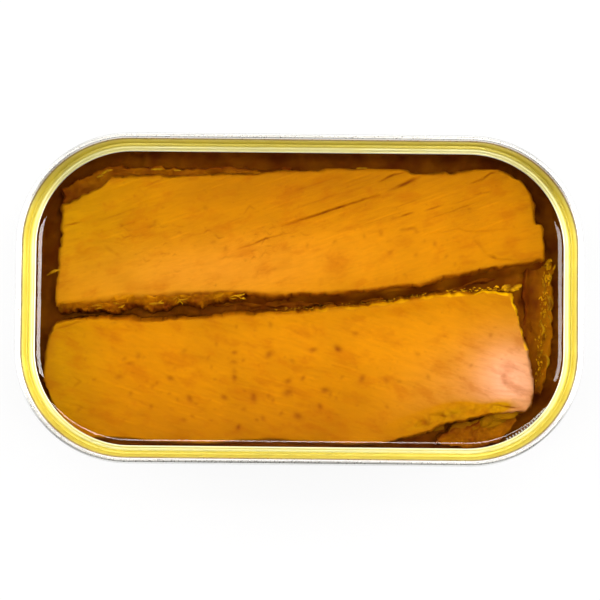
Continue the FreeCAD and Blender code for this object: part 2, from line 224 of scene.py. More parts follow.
def along_curve(points, count):
    """Points spread evenly by length along a smooth curve through the given ones."""
    points = np.array(points, float)
    before = np.vstack([2 * points[0] - points[1], points[:-1]])
    after = np.vstack([points[1:], 2 * points[-1] - points[-2]])
    slopes = (after - before) / 2
    steps = np.linspace(0, 1, 13)[:-1]
    dense = []
    for start, stop, lead, trail in zip(points[:-1], points[1:], slopes[:-1], slopes[1:]):
        for s in steps:
            dense.append((2 * s ** 3 - 3 * s ** 2 + 1) * start + (s ** 3 - 2 * s ** 2 + s) * lead
                         + (3 * s ** 2 - 2 * s ** 3) * stop + (s ** 3 - s ** 2) * trail)
    dense = np.array(dense + [points[-1]])
    walked = np.concatenate([[0], np.cumsum(np.linalg.norm(np.diff(dense, axis=0), axis=1))])
    wanted = np.linspace(0, walked[-1], count)
    return np.stack([np.interp(wanted, walked, dense[:, axis]) for axis in range(dense.shape[1])], axis=1)


def distance_to_line(x, y, points):
    """Distance in plan to a bent line, and the share of the line at the nearest place."""
    best = np.full(x.shape, 1e9)
    share = np.zeros(x.shape)
    count = len(points) - 1
    for index in range(count):
        start = np.array(points[index])
        run = np.array(points[index + 1]) - start
        t = np.clip(((x - start[0]) * run[0] + (y - start[1]) * run[1]) / (run @ run), 0, 1)
        gap = np.hypot(x - start[0] - t * run[0], y - start[1] - t * run[1])
        nearer = gap < best
        best = np.where(nearer, gap, best)
        share = np.where(nearer, (index + t) / count, share)
    return best, share


# ---------------------------------------------------------------- meshes


def make_object(name, vertices, faces, materials, picks=None, smooth_angle=40):
    """A mesh object that rides on the tin, with its materials and smooth shading up to an angle."""
    mesh = bpy.data.meshes.new(name)
    mesh.from_pydata([tuple(v) for v in vertices], [], faces)
    mesh.validate()
    for material in materials:
        mesh.materials.append(material)
    if picks is not None:
        mesh.polygons.foreach_set("material_index", picks)
    mesh.shade_smooth()
    mesh.set_sharp_from_angle(angle=math.radians(smooth_angle))
    mesh.update()
    piece = bpy.data.objects.new(name, mesh)
    bpy.context.collection.objects.link(piece)
    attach(piece, "root")
    return piece


def store(piece, name, values):
    """Keep one number for each vertex, for the materials to read."""
    layer = piece.data.attributes.new(name, "FLOAT", "POINT")
    layer.data.foreach_set("value", np.asarray(values, np.float32))


def plan_outline(half_length, half_width, corner, arc_steps, side_step):
    """Points and outward directions once round a rounded rectangle."""
    points = []
    normals = []
    straight_x = half_length - corner
    straight_y = half_width - corner
    centres = [(straight_x, -straight_y), (straight_x, straight_y),
               (-straight_x, straight_y), (-straight_x, -straight_y)]
    for index, centre in enumerate(centres):
        for step in range(arc_steps + 1):
            angle = math.pi / 2 * (index - 1 + step / arc_steps)
            normal = np.array([math.cos(angle), math.sin(angle)])
            points.append(np.array(centre) + corner * normal)
            normals.append(normal)
        following = np.array(centres[(index + 1) % 4]) + corner * normals[-1]
        gaps = max(1, int(np.linalg.norm(following - points[-1]) / side_step))
        start = points[-1]
        for step in range(1, gaps):
            points.append(start + (following - start) * step / gaps)
            normals.append(normals[-1])
    return np.array(points), np.array(normals)


def rounded_section(corners, steps=5):
    """A closed section from (inset, height, radius) corners, each rounding in short steps."""
    section = []
    spans = []
    for index, (inset, height, radius) in enumerate(corners):
        point = np.array([inset, height])
        if not radius:
            section.append(point)
            spans.append(index + 0.5)
            continue
        before = np.array(corners[index - 1][:2]) - point
        after = np.array(corners[(index + 1) % len(corners)][:2]) - point
        before /= np.linalg.norm(before)
        after /= np.linalg.norm(after)
        half = math.acos(np.clip(before @ after, -1, 1)) / 2
        middle = (before + after) / np.linalg.norm(before + after)
        centre = point + middle * radius / math.sin(half)
        first = point + before * radius / math.tan(half) - centre
        last = point + after * radius / math.tan(half) - centre
        start = math.atan2(first[1], first[0])
        turn = math.atan2(last[1], last[0]) - start
        turn = (turn + math.pi) % (2 * math.pi) - math.pi
        for step in range(steps + 1):
            angle = start + turn * step / steps
            section.append(centre + radius * np.array([math.cos(angle), math.sin(angle)]))
            spans.append(index if step < steps else index + 0.5)
    return np.array(section), spans


def sweep_section(name, section, spans, outline, materials, material_of):
    """Carry a closed section round the tin. material_of says which material follows each corner."""
    points, normals = outline
    rounds = len(points)
    count = len(section)
    vertices = np.zeros((rounds, count, 3))
    for index, (point, normal) in enumerate(zip(points, normals)):
        vertices[index, :, :2] = point - normal * section[:, :1]
        vertices[index, :, 2] = section[:, 1]
    faces = []
    picks = []
    for ring in range(rounds):
        following = (ring + 1) % rounds
        for step in range(count):
            beside = (step + 1) % count
            faces.append((ring * count + step, ring * count + beside,
                          following * count + beside, following * count + step))
            picks.append(material_of(spans[step]))
    piece = make_object(name, vertices.reshape(-1, 3), faces, materials, picks)
    store(piece, "inset", np.tile(section[:, 0], rounds))
    return piece


# ---------------------------------------------------------------- nodes


def add_node(tree, kind, inputs=None, output=0, **settings):
    """Add one node: settings by keyword, and inputs as values or as outputs to link. Gives one output."""
    node = tree.nodes.new(kind)
    for name, value in settings.items():
        setattr(node, name, value)
    for name, value in (inputs or {}).items():
        if isinstance(value, bpy.types.NodeSocket):
            tree.links.new(value, node.inputs[name])
        else:
            node.inputs[name].default_value = value
    return node.outputs[output]


def new_material(name):
    """A material with nothing in its node tree but the output, and the object coordinates."""
    material = bpy.data.materials.new(name)
    material.use_nodes = True
    tree = material.node_tree
    tree.nodes.clear()
    output = tree.nodes.new("ShaderNodeOutputMaterial")
    where = add_node(tree, "ShaderNodeTexCoord", output="Object")
    return material, tree, output, where


def shade(values, factor=1.0):
    """A colour made darker or lighter, with the fourth number that sockets want."""
    return (values[0] * factor, values[1] * factor, values[2] * factor, 1.0)


def bare_aluminium(settings):
    """Aluminium sheet, rolled and drawn. The eye gets soft silver glints and faint drawing streaks."""
    material, tree, output, where = new_material("drawn aluminium")
    # drawing streaks up the wall, 0.4 mm apart and 12 mm long
    stretched = add_node(tree, "ShaderNodeMapping", {"Vector": where, "Scale": (2500, 2500, 80)})
    streaks = add_node(tree, "ShaderNodeTexNoise", {"Vector": stretched, "Scale": 1.0, "Detail": 2.0})
    # handling marks, about 4 mm across
    marks = add_node(tree, "ShaderNodeTexNoise", {"Vector": where, "Scale": 250.0, "Detail": 4.0})
    dulled = add_node(tree, "ShaderNodeMapRange", {0: marks, 1: 0.35, 2: 0.7, 3: 0.0, 4: 1.0})
    tone = add_node(tree, "ShaderNodeMix",
                    {0: dulled, 6: shade(settings.metal), 7: shade(settings.metal, 0.94)},
                    output=2, data_type="RGBA")
    # painted shade: by the way they face, the upright walls are painted greyer than the crown of the seam
    lie = add_node(tree, "ShaderNodeNewGeometry", output="Normal")
    upward = add_node(tree, "ShaderNodeSeparateXYZ", {0: lie}, output=2)
    wall_shade = add_node(tree, "ShaderNodeMapRange", {0: upward, 1: 0.2, 2: 0.6, 3: 0.6, 4: 1.0})
    tone = add_node(tree, "ShaderNodeMix", {0: 1.0, 6: tone, 7: wall_shade}, output=2, data_type="RGBA",
                    blend_type="MULTIPLY")
    rough = add_node(tree, "ShaderNodeMapRange", {0: streaks, 1: 0.3, 2: 0.7, 3: 0.26, 4: 0.32})
    shader = add_node(tree, "ShaderNodeBsdfPrincipled",
                      {"Base Color": tone, "Metallic": 1.0, "Roughness": rough})
    tree.links.new(shader, output.inputs[0])
    return material


def gold_lacquer(settings):
    """Epoxy-phenolic lacquer, roller-coated on aluminium and baked. A warm yellow, softly wavy mirror."""
    material, tree, output, where = new_material("gold epoxy-phenolic lacquer")
    # lacquer flow, 1.5 mm across
    flow = add_node(tree, "ShaderNodeTexNoise", {"Vector": where, "Scale": 600.0, "Detail": 2.0})
    # uneven film, thicker and browner in patches 5 mm across
    film = add_node(tree, "ShaderNodeTexNoise", {"Vector": where, "Scale": 200.0, "Detail": 3.0})
    thick = add_node(tree, "ShaderNodeMapRange", {0: film, 1: 0.35, 2: 0.7, 3: 0.0, 4: 1.0})
    browner = (settings.lacquer[0] * 0.97, settings.lacquer[1] * 0.94, settings.lacquer[2] * 0.75, 1.0)
    tone = add_node(tree, "ShaderNodeMix", {0: thick, 6: shade(settings.lacquer), 7: browner},
                    output=2, data_type="RGBA")
    rough = add_node(tree, "ShaderNodeMapRange", {0: film, 1: 0.3, 2: 0.7, 3: 0.3, 4: 0.4})
    inset = add_node(tree, "ShaderNodeAttribute", output="Fac", attribute_name="inset")
    # painted shade: a darker, deeper yellow over the chuck wall and groove, and a painted dark brown line at
    # the bend under the crown
    layer = settings.gauge + settings.seam_gap
    chuck = 4 * layer + settings.gauge
    half_recess = (settings.taper + settings.groove_width) / 2
    groove_shade = shade(linear("EBDB5D"))
    bend_shade = shade(linear("95814B"))
    for middle, reach, target, amount in (
        (chuck + half_recess, half_recess, groove_shade, 0.85),
        (chuck, 0.09 * MM, bend_shade, 0.75),
    ):
        off = add_node(tree, "ShaderNodeMath", {0: inset, 1: middle, 2: reach}, operation="COMPARE")
        share = add_node(tree, "ShaderNodeMath", {0: off, 1: amount}, operation="MULTIPLY")
        tone = add_node(tree, "ShaderNodeMix", {0: share, 6: tone, 7: target}, output=2, data_type="RGBA")
    # rolling lines round the rim, drawn 0.16 mm apart, coarser than real, so that they spread the light
    turns = add_node(tree, "ShaderNodeMath", {0: inset, 1: 2 * math.pi / (0.16 * MM)}, operation="MULTIPLY")
    lines = add_node(tree, "ShaderNodeMath", {0: turns}, operation="SINE")
    height = add_node(tree, "ShaderNodeMath", {0: lines, 1: 0.35, 2: flow}, operation="MULTIPLY_ADD")
    bump = add_node(tree, "ShaderNodeBump", {"Strength": 0.5, "Distance": 0.02 * MM, "Height": height})
    shader = add_node(tree, "ShaderNodeBsdfPrincipled",
                      {"Base Color": tone, "Metallic": 1.0, "Roughness": rough, "Coat Weight": 0.6,
                       "Coat Roughness": 0.25, "Normal": bump})
    tree.links.new(shader, output.inputs[0])
    return material


def cooked_tuna(settings, name, sunk, angle=0.0):
    """Cooked tuna loin soaked in oil. Matt golden flesh with fine fibres, browner and in painted shade in
    pits, in painted shade down its sides.

    sunk says how far under the oil, in millimetres, the painted shade of depth starts and is full.
    """
    material, tree, output, where = new_material(name)
    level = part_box("oil")[1][2]
    marks = {key: add_node(tree, "ShaderNodeAttribute", output="Fac", attribute_name=key)
             for key in MARKS}
    # fibre bundles, drawn 0.55 mm wide and 3 mm long, coarser than the real 0.1 mm fibres, to show
    turned = add_node(tree, "ShaderNodeVectorRotate", {"Vector": where, "Angle": math.radians(-angle)})
    fibres = (0.18 / settings.fibre, 1 / settings.fibre, 0.4 / settings.fibre)
    stretched = add_node(tree, "ShaderNodeMapping", {"Vector": turned, "Scale": fibres})
    speckle = add_node(tree, "ShaderNodeTexNoise",
                       {"Vector": stretched, "Scale": 1.0, "Detail": 6.0,
                        "Roughness": 0.6, "Distortion": 0.6})
    # small stained patches between the fibres, about 3 mm across and drawn out along the grain
    leaning = add_node(tree, "ShaderNodeMapping", {"Vector": turned, "Scale": (0.6, 1.1, 1.0)})
    mottle = add_node(tree, "ShaderNodeTexNoise",
                      {"Vector": leaning, "Scale": 300.0, "Detail": 5.0,
                       "Roughness": 0.6, "Distortion": 0.25})
    # soft clouds of fat and brown meat, about 9 mm across
    clouds = add_node(tree, "ShaderNodeTexNoise", {"Vector": where, "Scale": 110.0, "Detail": 4.0})
    stained = (settings.flesh[0] * 0.72, settings.flesh[1] * 0.46, settings.flesh[2] * 0.6, 1.0)
    # painted light: the light mark brightens raised fibres and lit patches
    tone = add_node(tree, "ShaderNodeMix",
                    {0: marks["light"], 6: shade(settings.flesh), 7: shade(settings.flesh_light)},
                    output=2, data_type="RGBA")
    for key, target in (("olive", settings.flesh_olive), ("pink", settings.flesh_pink)):
        tone = add_node(tree, "ShaderNodeMix", {0: marks[key], 6: tone, 7: shade(target)},
                        output=2, data_type="RGBA")
    # the streak mark is the fibres' own lines and painted shade in the lows between raised fibres
    for source, low, high, amount, target in (
        (clouds, 0.4, 0.72, 0.34, shade(settings.flesh, 0.66)),
        (marks["streak"], 0.1, 0.9, 0.3, shade(settings.flesh, 0.55)),
        (mottle, 0.5, 0.66, 0.42, stained),
        (speckle, 0.42, 0.72, 0.15, shade(settings.brown_and_shade)),
    ):
        share = add_node(tree, "ShaderNodeMapRange", {0: source, 1: low, 2: high, 3: 0.0, 4: amount})
        tone = add_node(tree, "ShaderNodeMix", {0: share, 6: tone, 7: target}, output=2, data_type="RGBA")
    # painted shade, with some browner flesh: in cracks and pits, at edges, down the sides, in sunk flakes and
    # in the bed
    tone = add_node(tree, "ShaderNodeMix", {0: marks["hollow"], 6: tone, 7: shade(settings.brown_and_shade)},
                    output=2, data_type="RGBA")
    # painted light: a yellow glow where light shines through thin flesh
    tone = add_node(tree, "ShaderNodeMix", {0: marks["gold"], 6: tone, 7: shade(settings.crumb)},
                    output=2, data_type="RGBA")
    # painted shade: the flesh is painted darker the deeper it lies under the oil
    height = add_node(tree, "ShaderNodeSeparateXYZ", {0: where}, output=2)
    depth = add_node(tree, "ShaderNodeMapRange",
                     {0: height, 1: level - sunk[0] * MM, 2: level - sunk[1] * MM, 3: 0.0, 4: 1.0})
    tone = add_node(tree, "ShaderNodeMix", {0: depth, 6: tone, 7: shade(settings.brown_and_shade, 0.5)},
                    output=2, data_type="RGBA")
    relief = add_node(tree, "ShaderNodeMath", {0: mottle, 1: -1.2, 2: speckle}, operation="MULTIPLY_ADD")
    bump = add_node(tree, "ShaderNodeBump", {"Strength": 0.45, "Distance": 0.13 * MM, "Height": relief})
    shader = add_node(tree, "ShaderNodeBsdfPrincipled",
                      {"Base Color": tone, "Roughness": 0.6, "Specular IOR Level": 0.08, "IOR": 1.4,
                       "Normal": bump})
    tree.links.new(shader, output.inputs[0])
    return material


def loose_flesh(settings):
    """Crumbs and threads of cooked tuna in oil. Olive brown, with a painted yellow glow where light shines
    through them.
    """
    material, tree, output, where = new_material("loose tuna crumbs")
    # neighbouring crumbs differ, in steps of about 2 mm
    patches = add_node(tree, "ShaderNodeTexNoise", {"Vector": where, "Scale": 450.0, "Detail": 2.0})
    brown = add_node(tree, "ShaderNodeMapRange", {0: patches, 1: 0.4, 2: 0.68, 3: 0.0, 4: 1.0})
    # painted light: the gold mark mixes from a dim olive to a bright yellow glow
    gold = add_node(tree, "ShaderNodeAttribute", output="Fac", attribute_name="gold")
    tone = add_node(tree, "ShaderNodeMix",
                    {0: gold, 6: shade(settings.flesh_olive, 0.6), 7: shade(settings.crumb)},
                    output=2, data_type="RGBA")
    tone = add_node(tree, "ShaderNodeMix", {0: brown, 6: tone, 7: shade(settings.flesh, 0.5)},
                    output=2, data_type="RGBA")
    shader = add_node(tree, "ShaderNodeBsdfPrincipled",
                      {"Base Color": tone, "Roughness": 0.45, "Specular IOR Level": 0.2, "IOR": 1.4})
    tree.links.new(shader, output.inputs[0])
    return material


def amber_oil(settings):
    """Fish and olive oil, clear. It mirrors the studio at its curved edge and turns brown with depth."""
    material, tree, output, where = new_material("amber oil")
    # slow swirls of paler oil, about 17 mm across
    swirl = add_node(tree, "ShaderNodeTexNoise", {"Vector": where, "Scale": 60.0, "Detail": 2.0})
    cloudy = add_node(tree, "ShaderNodeMapRange", {0: swirl, 1: 0.3, 2: 0.7, 3: 0.0, 4: 1.0})
    tint = add_node(tree, "ShaderNodeMix",
                    {0: cloudy, 6: shade(settings.amber), 7: shade(settings.amber, 0.94)},
                    output=2, data_type="RGBA")
    glass = add_node(tree, "ShaderNodeBsdfPrincipled",
                     {"Base Color": tint, "Roughness": 0.0, "IOR": 1.47, "Transmission Weight": 1.0})
    # light on its way to the fish passes straight through the surface and is only dimmed by the depth
    clear = add_node(tree, "ShaderNodeBsdfTransparent", {0: (1, 1, 1, 1)})
    shadow = add_node(tree, "ShaderNodeLightPath", output="Is Shadow Ray")
    surface = add_node(tree, "ShaderNodeMixShader", {0: shadow, 1: glass, 2: clear})
    volume = add_node(tree, "ShaderNodeVolumeAbsorption",
                      {"Color": shade(settings.absorb), "Density": settings.density})
    tree.links.new(surface, output.inputs["Surface"])
    tree.links.new(volume, output.inputs["Volume"])
    return material


# ---------------------------------------------------------------- the tin


def tin_outline(context, arc_steps=40):
    """The outer face of the seam in plan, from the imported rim's box."""
    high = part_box("end_ring")[1]
    return plan_outline(high[0], high[1], context.scene.tuna_tin.corner, arc_steps, 4 * MM)


class TUNA_OT_body(bpy.types.Operator):
    """Draw the body of the tin: hook, wall, bottom radius and raised bottom panel"""
    bl_idname = "tuna.body"
    bl_label = "Drawn body"

    def execute(self, context):
        tin = context.scene.tuna_tin
        gauge = tin.gauge
        layer = gauge + tin.seam_gap
        wall = 3 * layer
        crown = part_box("can_body")[1][2]
        hook_low = crown - tin.seam_height + 3 * layer
        fold = (wall - layer - gauge) * 0.4
        ring = tin.standing_ring
        bend = 0.2 * MM
        rise = tin.panel_rise
        join = ring + 2 * MM
        # from the body hook over the crown, down the inside, round the panel's edge and up the outside
        corners = [
            (layer, hook_low, 0), (layer, crown, fold + gauge), (wall + gauge, crown, fold + gauge),
            (wall + gauge, gauge, tin.floor_radius - gauge), (ring - gauge, gauge, bend),
            (ring - gauge, rise + gauge, bend + gauge), (join, rise + gauge, 0),
            (join, rise, 0), (ring, rise, bend), (ring, 0, bend + gauge),
            (wall, 0, tin.floor_radius), (wall, crown - gauge, fold), (layer + gauge, crown - gauge, fold),
            (layer + gauge, hook_low, 0),
        ]
        section, spans = rounded_section(corners)
        outline = tin_outline(context)
        metal = bare_aluminium(tin)
        lacquer = gold_lacquer(tin)
        body = sweep_section("drawn_body", section, spans, outline, [metal, lacquer],
                             lambda span: 1 if 2 < span < 7 else 0)
        panel = self.panel(outline, join, rise, gauge, [metal, lacquer])
        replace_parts(body, "can_body")
        panel.parent = body
        return {"FINISHED"}

    def panel(self, outline, inset, rise, gauge, materials):
        """The flat middle of the bottom, as two plates from the step inwards."""
        points, normals = outline
        ring = points - normals * inset
        count = len(ring)
        vertices = [(*place, height) for height in (rise, rise + gauge) for place in ring]
        vertices += [(0, 0, rise), (0, 0, rise + gauge)]
        faces = []
        picks = []
        for index in range(count):
            following = (index + 1) % count
            faces.append((following, index, 2 * count))
            faces.append((count + index, count + following, 2 * count + 1))
            faces.append((index, following, count + following, count + index))
            picks.extend((0, 1, 0))
        return make_object("bottom_panel", vertices, faces, materials, picks)


class TUNA_OT_rim(bpy.types.Operator):
    """Form what is left of the lid: double seam, chuck wall, groove, beaded ledge and torn edge"""
    bl_idname = "tuna.rim"
    bl_label = "Seamed rim"

    def execute(self, context):
        tin = context.scene.tuna_tin
        gauge = tin.gauge
        layer = gauge + tin.seam_gap
        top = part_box("end_ring")[1][2]
        hem = top - tin.seam_height
        hook = 2 * layer
        chuck = 4 * layer
        inner = chuck + gauge
        fold = (hook - gauge) * 0.4
        ledge = top - tin.ledge_depth
        groove = ledge - tin.groove_depth
        start = inner + tin.taper
        stop = start + tin.groove_width
        torn = tin.rim_width
        bend = 0.12 * MM
        bead = 0.07 * MM
        score = torn - 0.5 * MM
        fine = 0.04 * MM
        hook_top = top - 2 * layer - 0.3 * MM
        # from the cover hook round the seam and in to the torn edge, then back along the underside
        corners = [
            (hook + gauge, hook_top, 0), (hook + gauge, hem, fold + gauge), (0, hem, fold + gauge),
            (0, top, tin.crown), (inner, top, tin.crown), (start, groove, bend), (stop, groove, bend),
            (stop, ledge - fine, bend), ((stop + score) / 2, ledge + bead, 0.8 * MM),
            (score - fine, ledge, fine), (score, ledge - bead, fine), (score + fine, ledge, fine),
            ((score + torn) / 2, ledge + fine, 0.2 * MM),
            (torn, ledge - bead, 0.09 * MM), (torn, ledge - gauge, 0.05 * MM),
            (stop + gauge, ledge - gauge, bend), (stop + gauge, groove - gauge, bend + gauge),
            (start - gauge, groove - gauge, bend + gauge),
            (chuck, top - gauge, tin.crown - gauge), (gauge, top - gauge, tin.crown - gauge),
            (gauge, hem + gauge, fold), (hook, hem + gauge, fold), (hook, hook_top, 0),
        ]
        # the lacquer starts after the crown's inner corner and ends at the torn edge
        lacquer_start = 4.5
        lacquer_end = 13
        section, spans = rounded_section(corners, 8)
        metal = bare_aluminium(tin)
        lacquer = gold_lacquer(tin)
        rim = sweep_section("lidless_rim", section, spans, tin_outline(context),
                            [metal, lacquer], lambda span: 1 if lacquer_start <= span < lacquer_end else 0)
        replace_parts(rim, "end_ring")
        self.burrs(context, torn, ledge)
        return {"FINISHED"}

    def burrs(self, context, torn, ledge):
        """The row of small bright burrs that the tear left on the edge at the front right corner."""
        material, tree, output = new_material("torn aluminium")[:3]
        # raw torn metal, so rough that it glows evenly under the studio
        shader = add_node(tree, "ShaderNodeBsdfPrincipled",
                          {"Base Color": shade(linear("F6F6F2")), "Metallic": 1.0, "Roughness": 0.9})
        tree.links.new(shader, output.inputs[0])
        rng = np.random.default_rng(3)
        half_length, half_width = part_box("end_ring")[1][:2]
        corner = context.scene.tuna_tin.corner
        centre = np.array([half_length - corner, corner - half_width])
        reach = corner - torn - 0.2 * MM
        parts = []
        for index in range(15):
            angle = -math.radians(65 - 2.05 * index)
            place = centre + reach * np.array([math.cos(angle), math.sin(angle)])
            parts.append(morsel(rng, (*place, ledge - 0.03 * MM), 0.26 * MM, angle, 1.6))
        join_small("torn_burrs", parts, material)


# ---------------------------------------------------------------- the fish


def inside_box(node, shares):
    """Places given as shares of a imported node's box in plan, in metres."""
    low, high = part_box(node)
    return [(low[0] + (high[0] - low[0]) * x, low[1] + (high[1] - low[1]) * y) for x, y in shares]


def keep_inside(vertices, inset):
    """Pull points back inside the tin's wall, at a distance in from the seam's outer face."""
    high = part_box("end_ring")[1]
    straight = np.array(high[:2]) - bpy.context.scene.tuna_tin.corner
    reach = bpy.context.scene.tuna_tin.corner - inset
    beyond = np.sign(vertices[:, :2]) * np.maximum(np.abs(vertices[:, :2]) - straight, 0)
    distance = np.linalg.norm(beyond, axis=1)
    pull = np.where(distance > reach, reach / np.maximum(distance, 1e-9) - 1, 0)
    vertices[:, :2] += beyond * pull[:, None]


class Slab:
    """A flat piece of fish: a grid between four bent edges, with relief on top and uneven sides."""

    def __init__(self, node, front, back, left, right, columns, rows, seed, ragged=1.0):
        self.low, self.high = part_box(node)
        self.seed = seed
        # how far the sides bulge out below the top
        self.slump = 0.7 * MM
        self.columns = columns
        self.rows = rows
        self.row = np.arange(rows)[None, :] + np.zeros((columns, 1))
        front = along_curve(inside_box(node, front), columns)
        back = along_curve(inside_box(node, back), columns)
        left = along_curve(inside_box(node, left), rows)
        right = along_curve(inside_box(node, right), rows)
        u = np.linspace(0, 1, columns)[:, None, None]
        v = np.linspace(0, 1, rows)[None, :, None]
        edges = front[:, None] * (1 - v) + back[:, None] * v + left[None] * (1 - u) + right[None] * u
        corners = (front[0] * (1 - u) * (1 - v) + front[-1] * u * (1 - v)
                   + back[0] * (1 - u) * v + back[-1] * u * v)
        plan = edges - corners
        self.x = plan[..., 0]
        self.y = plan[..., 1]
        self.edge = self.edge_distance()
        self.roughen(ragged)
        self.z = np.zeros_like(self.x)
        self.values = {name: np.zeros_like(self.x) for name in MARKS}

    def edge_distance(self):
        """Distance of each place to the nearest of the four edges."""
        across = np.hypot(np.diff(self.x, axis=1), np.diff(self.y, axis=1))
        along = np.hypot(np.diff(self.x, axis=0), np.diff(self.y, axis=0))
        front = np.concatenate([np.zeros((self.columns, 1)), np.cumsum(across, axis=1)], axis=1)
        left = np.concatenate([np.zeros((1, self.rows)), np.cumsum(along, axis=0)], axis=0)
        return np.minimum(np.minimum(front, front[:, -1:] - front), np.minimum(left, left[-1:] - left))

    def roughen(self, ragged):
        """Push the outer strip in and out, so that the edges look torn rather than drawn."""
        near = np.exp(-self.edge / (0.6 * MM)) * ragged
        for size, amount in ((3.0 * MM, 0.28 * MM), (0.8 * MM, 0.18 * MM)):
            self.x = self.x + uneven(self.x, self.y, size, self.seed + 3) * amount * near
            self.y = self.y + uneven(self.x, self.y, size, self.seed + 9) * amount * near

    def round_edges(self, crown, radius, soft=0.0):
        """Start the top surface at its height and let it fall over an edge of uneven radius."""
        local = radius * (1 + 0.55 * uneven(self.x, self.y, 4 * MM, self.seed + 5) + soft)
        share = np.clip(self.edge / local, 0, 1)
        self.z = crown - local * (1 - np.sqrt(1 - (1 - share) ** 2))
        # painted shade along the fallen edge
        self.values["hollow"] += 0.4 * (1 - smooth_step(self.edge, 0, 0.8 * MM))

    def crack(self, points, width, depth, dark=0.75):
        """An opened line between two muscle flakes, fading out at both ends."""
        wander = uneven(self.x, self.y, 1.5 * MM, self.seed + 21, 2) * 0.12 * MM
        gap, share = distance_to_line(self.x + wander, self.y + wander, points)
        fade = np.sin(np.pi * np.clip(share, 0.02, 0.98)) ** 0.5
        broken = 0.65 + 0.35 * uneven(self.x, self.y, 1.8 * MM, self.seed + 23, 2)
        line = np.exp(-(gap / width) ** 2) * fade * broken
        self.z = self.z - depth * line
        # darker in the line: browner flesh and painted shade
        self.values["hollow"] += dark * line

    def ridge(self, points, width, height, light=0.6):
        """A thin raised fibre, with a painted highlight along it."""
        gap, share = distance_to_line(self.x, self.y, points)
        line = np.exp(-(gap / width) ** 2) * np.sin(np.pi * np.clip(share, 0.02, 0.98)) ** 0.5
        self.z = self.z + height * line
        self.values["light"] += light * line
        self.values["streak"] -= 0.5 * line

    def pits(self, places, radius, depth, dark=0.5):
        """Small oval hollows of differing size, each turned its own way."""
        for index, place in enumerate(places):
            reach = radius * (0.7 + 0.6 * ((index * 0.618) % 1))
            spot = patch(self.x, self.y, place, (reach * 1.5, reach), angle=(index * 47) % 180)
            self.z = self.z - depth * spot
            # darker in each: browner flesh and painted shade
            self.values["hollow"] += dark * spot

    def build(self, name, material, layers=12):
        """Close the piece with sides and a bottom, and store what its material reads."""
        top = np.stack([self.x, self.y, self.z], axis=2)
        columns, rows = self.columns, self.rows
        index = np.arange(columns * rows).reshape(columns, rows)
        faces = []
        for i in range(columns - 1):
            for j in range(rows - 1):
                faces.append((index[i, j], index[i + 1, j], index[i + 1, j + 1], index[i, j + 1]))
        loop = list(index[:, 0]) + list(index[-1, 1:]) + list(index[-2::-1, -1]) + list(index[0, -2:0:-1])
        flat = top.reshape(-1, 3)
        rim = flat[loop]
        centre = rim.mean(axis=0)
        outward = rim[:, :2] - np.roll(rim[:, :2], 1, axis=0)
        outward = np.stack([outward[:, 1], -outward[:, 0]], axis=1)
        outward /= np.maximum(np.linalg.norm(outward, axis=1)[:, None], 1e-9)
        vertices = [flat]
        walked = np.cumsum(np.linalg.norm(rim[:, :2] - np.roll(rim[:, :2], 1, axis=0), axis=1))
        bottom = self.low[2] + 1.1 * MM
        above = loop
        start = len(flat)
        count = len(loop)
        for layer in range(1, layers + 1):
            share = (layer / layers) ** 1.6
            height = rim[:, 2] * (1 - share) + bottom * share
            slump = math.sin(math.pi * min(1, share * 1.25)) ** 0.7
            bulge = (self.slump + 0.4 * MM * uneven(walked, height, 3.2 * MM, self.seed + 31)) * slump
            ring = np.column_stack([rim[:, :2] + outward * bulge[:, None], height])
            vertices.append(ring)
            below = list(range(start, start + count))
            for i in range(count):
                j = (i + 1) % count
                faces.append((above[i], below[i], below[j], above[j]))
            above = below
            start += count
        vertices.append(np.array([[centre[0], centre[1], bottom]]))
        for i in range(count):
            faces.append((above[i], start, above[(i + 1) % count]))
        vertices = np.clip(np.concatenate(vertices), self.low, self.high)
        keep_inside(vertices, FISH_INSET)
        piece = make_object(name, vertices, faces, [material], smooth_angle=70)
        below_count = len(vertices) - len(flat)
        for key, values in self.values.items():
            # the sides and bottom get painted shade
            padding = 0.4 if key == "hollow" else 0.0
            store(piece, key, np.concatenate([np.clip(values, 0, 1).ravel(), np.full(below_count, padding)]))
        return piece


